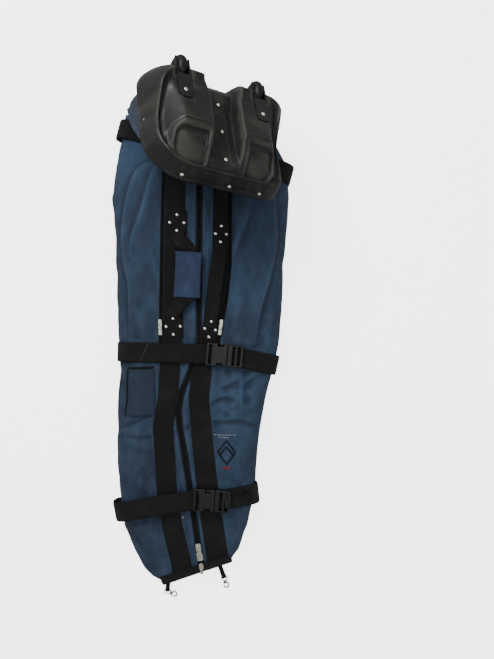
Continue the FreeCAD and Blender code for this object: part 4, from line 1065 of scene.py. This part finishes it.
def build_base():
    """Moulded base: outside wall from the rim up to the bead, then the underside, as one surface of the
    direction round the base and the share from rim to middle, with two wheel slots at the back."""
    around, wall, top = 360, 30, 100
    angle = np.linspace(0, 2 * math.pi, around + 1)[:-1]
    rx, ry = rounded_box(angle, *RIM)
    cx, cy = rounded_box(angle, *RIDGE)
    share = np.linspace(0, 1, wall)[:, None]
    lean = share ** 1.35
    x, y = rx + (cx - rx) * lean, ry + (cy - ry) * lean
    head = underside(cx, cy)
    z = head * (1 - (1 - share) ** 1.25)
    bars = np.exp(-((share - 0.52) / 0.2) ** 6) * (y < -150) * (np.abs(x - 20) < 112)
    mark = bars * (np.abs((x / 26) % 1 - 0.5) < 0.27)
    y = y - 1.6 * mark
    z = z + 0.5 * mark + 1.6 * np.exp(-((share - 0.1) / 0.05) ** 2)
    scale = (1 - np.linspace(0, 1, top + 1)[1:])[:, None] ** 0.9
    mx, my = 2.0, -45.0
    ix, iy = mx + (cx - mx) * scale, my + (cy - my) * scale
    iz = underside(ix, iy)
    px, py, pz = (np.concatenate(pair) for pair in ((x, ix), (y, iy), (z, iz)))
    for side in (-WHEEL_SIDE, WHEEL_SIDE):
        slot = (1 - ease(16.2, 17.8, np.abs(px - side))) * ease(39, 41, py)
        pz = np.where(pz > 38, pz + (38 - pz) * slot, pz)
        seat = (1 - ease(17, 19, np.maximum(np.abs(px - side), -(py + 4)))) * (py < 44)
        pz = pz + np.minimum(0, 93.5 - pz) * seat
    points = placed(based(np.stack((px, py, pz), -1)))
    uv = np.stack((px, py), -1) / 1000
    mesh = grid_mesh("base_skin", points, wrap=True, uv=uv)
    smooth = blurred(pz, 5)
    wear = 0.5 + (pz - smooth) * 0.32
    wear[:2] = 0.5
    for low, high, radii in PADS:
        wear = wear + 0.3 * ease(2, 9, box_depth(px, py, low, high, radii))
    wear_and_shade_attribute(mesh, wear + 0.28 * waves(px, py, 21, 60) * ease(-170, -60, -py))
    shape = bmesh.new()
    shape.from_mesh(mesh)
    bmesh.ops.remove_doubles(shape, verts=shape.verts, dist=0.00002)
    shape.to_mesh(mesh)
    shape.free()
    skin = new_object("base_skin", mesh, FINISHES["base"], "base")
    up = Vector(TURN[:, 2])
    mesh.update()
    if sum(p.normal.dot(up) for p in list(mesh.polygons)[::97]) < 0:
        mesh.flip_normals()
    shell = skin.modifiers.new("wall", "SOLIDIFY")
    shell.thickness = 0.0035
    shell.offset = -1
    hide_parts("base_shell")


def build_neck():
    """Cloth neck from the bag's end up into the base's rim, slack and pleated: the direction round it
    and the share from the bag to the rim, bowed outwards between."""
    around, up = 200, 60
    angle = np.linspace(0, 2 * math.pi, around + 1)[:-1]

    def power(value, exponent):
        return np.sign(value) * np.abs(value) ** exponent

    rise = power(np.sin(angle), 0.8)
    sideways = power(np.cos(angle), 0.7)
    mouth = np.stack((-0.5 + 190 * sideways, 546 - 38 * sideways - 16 * rise, 30 + 27 * rise), 1)
    rim_x = 161 * power(np.cos(angle), 0.55)
    rim_y = -20 - 137 * power(np.sin(angle), 0.55)
    rim = based(np.stack((rim_x, rim_y, np.full(around, 3.0)), 1))
    share = np.linspace(0, 1, up)[:, None]
    path = mouth[None] + (rim - mouth)[None] * share[..., None]
    centre = path.mean(1, keepdims=True)
    away = path - centre
    away /= np.linalg.norm(away, axis=-1, keepdims=True)
    bow = np.sin(share * math.pi)
    back = ease(0.2, 0.9, -np.sin(angle))[None]
    path = path + away * (bow * (7 + 9 * back + 3.2 * waves(angle * 120, share * 60, 31, 60)))[..., None]
    path[..., 2] = np.maximum(path[..., 2], 0.6)
    length = np.linalg.norm(np.diff(np.concatenate((path, path[:, :1]), 1), axis=1), axis=-1)
    girth = np.concatenate((np.zeros((up, 1)), np.cumsum(length, 1)[:, :-1]), 1) / 1000
    uv = np.stack(np.broadcast_arrays(share * 0.2, girth), -1)
    mesh = grid_mesh("neck_cloth", placed(path), wrap=True, uv=uv)
    # Painted shade: the neck's cloth is darkened all over, most in the hollows between its pleats.
    wear_and_shade_attribute(mesh, 0.34 + 0.2 * waves(angle * 120, share * 60, 31, 60))
    piece = new_object("neck_cloth", mesh, FINISHES["cloth"])
    solid = piece.modifiers.new("cloth", "SOLIDIFY")
    solid.thickness = 0.0015
    solid.offset = -1
    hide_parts("base_neck")
    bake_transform(piece)


# ---------------------------------------------------------------- stage

def build_stage(settings):
    """Pale floor, three broad soft lights and the camera straight above."""
    scene = bpy.context.scene
    mesh = bpy.data.meshes.new("floor")
    reach, level = 30, -0.0005
    mesh.from_pydata([(-reach, -reach, level), (reach, -reach, level), (reach, reach, level),
                      (-reach, reach, level)], [], [(0, 1, 2, 3)])
    floor = bpy.data.objects.new("floor", mesh)
    scene.collection.objects.link(floor)
    paper = Finish("pale_floor", (0.9, 0.9, 0.9), 0.9, specular=0.1)
    paper.shader.inputs["Emission Color"].default_value = (1, 1, 1, 1)
    paper.shader.inputs["Emission Strength"].default_value = 3.2
    mesh.materials.append(paper.material)
    floor.visible_diffuse = floor.visible_glossy = False
    for name, place, size, power in (("key", (-1.0, 1.7, 1.9), 1.1, settings.key_power),
                                     ("fill", (1.7, -0.7, 1.9), 2.0, settings.key_power * 0.22),
                                     ("overhead", (0.1, -0.1, 2.9), 2.2, settings.key_power * 0.35)):
        light = bpy.data.objects.new(name, bpy.data.lights.new(name, "AREA"))
        light.data.shape, light.data.size, light.data.energy = "SQUARE", size, power
        light.location = place
        light.rotation_euler = (Vector((0, 0.1, 0)) - Vector(place)).to_track_quat("-Z", "Y").to_euler()
        scene.collection.objects.link(light)
    world = bpy.data.worlds.new("studio")
    world.use_nodes = True
    world.node_tree.nodes["Background"].inputs[0].default_value = (1, 1, 1, 1)
    world.node_tree.nodes["Background"].inputs[1].default_value = 0.55
    scene.world = world
    camera = bpy.data.objects.new("camera", bpy.data.cameras.new("camera"))
    camera.data.lens, camera.data.sensor_width = 35.0, 36.0
    camera.data.sensor_fit = "AUTO"
    camera.location = (0.11628, 0.04739, 1.682)
    scene.collection.objects.link(camera)
    scene.camera = camera


# ---------------------------------------------------------------- add-on

class BagSettings(PropertyGroup):
    """Sizes and strengths that the pieces are built from."""
    cloth_colour: FloatVectorProperty(name="Cloth colour", description="Screen colour of the navy nylon",
                                      default=(0.142, 0.218, 0.305), size=3, min=0, max=1,
                                      subtype="COLOR_GAMMA")
    fold_strength: FloatProperty(name="Folds", description="Share of each fold's height", default=1.0,
                                 min=0, max=3)
    pressure: FloatProperty(name="Pressure", description="Air pressure that swells the slack cloth",
                            default=2.2, min=0, max=20)
    cap: FloatProperty(name="Movement", description="Furthest a point of cloth may move, in millimetres",
                       default=8.0, min=0, max=40)
    frames: IntProperty(name="Frames", description="Length of the cloth simulation", default=16,
                        min=2, max=60)
    key_power: FloatProperty(name="Key light", description="Power of the main light", default=62.0, min=0,
                             unit="POWER")


class SKIBAG_OT_finishes(Operator):
    """Make the materials and put them on the buckles, pulls, hooks, wheels and rivets"""
    bl_idname = "ski_bag.finishes"
    bl_label = "Finishes"
    bl_options = {"REGISTER", "UNDO"}

    def execute(self, context):
        make_finishes(context.scene.ski_bag)
        finish_cad_nodes()
        return {"FINISHED"}


class SKIBAG_OT_cloth(Operator):
    """Build the bag's cloth body with its folds"""
    bl_idname = "ski_bag.cloth"
    bl_label = "Navy body"
    bl_options = {"REGISTER", "UNDO"}

    def execute(self, context):
        build_cloth(context.scene.ski_bag)
        return {"FINISHED"}


class SKIBAG_OT_webbing(Operator):
    """Lay the long webbings, the zips and the identity pocket"""
    bl_idname = "ski_bag.webbing"
    bl_label = "Webbings and zips"
    bl_options = {"REGISTER", "UNDO"}

    def execute(self, context):
        build_webbing()
        return {"FINISHED"}


class SKIBAG_OT_patches(Operator):
    """Lay the riveted patches and their seams"""
    bl_idname = "ski_bag.patches"
    bl_label = "Handle patches"
    bl_options = {"REGISTER", "UNDO"}

    def execute(self, context):
        build_patches()
        return {"FINISHED"}


class SKIBAG_OT_straps(Operator):
    """Run the three straps and their tails"""
    bl_idname = "ski_bag.straps"
    bl_label = "Compression straps"
    bl_options = {"REGISTER", "UNDO"}

    def execute(self, context):
        build_straps()
        return {"FINISHED"}


class SKIBAG_OT_handles(Operator):
    """Shape both carrying handles and the cloth wrap"""
    bl_idname = "ski_bag.handles"
    bl_label = "Handles"
    bl_options = {"REGISTER", "UNDO"}

    def execute(self, context):
        build_handles()
        return {"FINISHED"}


class SKIBAG_OT_foot(Operator):
    """Bind the foot and add its loops and the strap keeper"""
    bl_idname = "ski_bag.foot"
    bl_label = "Foot"
    bl_options = {"REGISTER", "UNDO"}

    def execute(self, context):
        build_foot()
        return {"FINISHED"}


class SKIBAG_OT_seams(Operator):
    """Sew the seams and the stitched mark"""
    bl_idname = "ski_bag.seams"
    bl_label = "Stitching"
    bl_options = {"REGISTER", "UNDO"}

    def execute(self, context):
        build_seams()
        build_emblem()
        return {"FINISHED"}


class SKIBAG_OT_base(Operator):
    """Mould the wheeled base"""
    bl_idname = "ski_bag.base"
    bl_label = "Moulded base"
    bl_options = {"REGISTER", "UNDO"}

    def execute(self, context):
        build_base()
        return {"FINISHED"}


class SKIBAG_OT_neck(Operator):
    """Join the bag's end to the base's rim with slack cloth"""
    bl_idname = "ski_bag.neck"
    bl_label = "Cloth neck"
    bl_options = {"REGISTER", "UNDO"}

    def execute(self, context):
        build_neck()
        return {"FINISHED"}


class SKIBAG_OT_stage(Operator):
    """Add the floor, the lights and the camera"""
    bl_idname = "ski_bag.stage"
    bl_label = "Stage"
    bl_options = {"REGISTER", "UNDO"}

    def execute(self, context):
        build_stage(context.scene.ski_bag)
        return {"FINISHED"}


OPERATORS = (SKIBAG_OT_finishes, SKIBAG_OT_cloth, SKIBAG_OT_webbing, SKIBAG_OT_patches, SKIBAG_OT_straps,
             SKIBAG_OT_handles, SKIBAG_OT_foot, SKIBAG_OT_seams, SKIBAG_OT_base, SKIBAG_OT_neck,
             SKIBAG_OT_stage)


class SKIBAG_PT_panel(Panel):
    """Lists the bag's steps in the sidebar."""
    bl_idname = "SKIBAG_PT_panel"
    bl_label = "Ski bag"
    bl_space_type = "VIEW_3D"
    bl_region_type = "UI"
    bl_category = "Ski bag"

    def draw(self, context):
        settings = context.scene.ski_bag
        for name in BagSettings.__annotations__:
            self.layout.prop(settings, name)
        for step in OPERATORS:
            self.layout.operator(step.bl_idname)


CLASSES = (BagSettings, *OPERATORS, SKIBAG_PT_panel)


def register():
    for item in CLASSES:
        bpy.utils.register_class(item)
    bpy.types.Scene.ski_bag = bpy.props.PointerProperty(type=BagSettings)


def unregister():
    del bpy.types.Scene.ski_bag
    for item in reversed(CLASSES):
        bpy.utils.unregister_class(item)


def main():
    """Runs every step in order."""
    register()
    for step in OPERATORS:
        getattr(bpy.ops.ski_bag, step.bl_idname.split(".")[1])()
    bpy.context.view_layer.update()


if __name__ == "__main__":
    main()
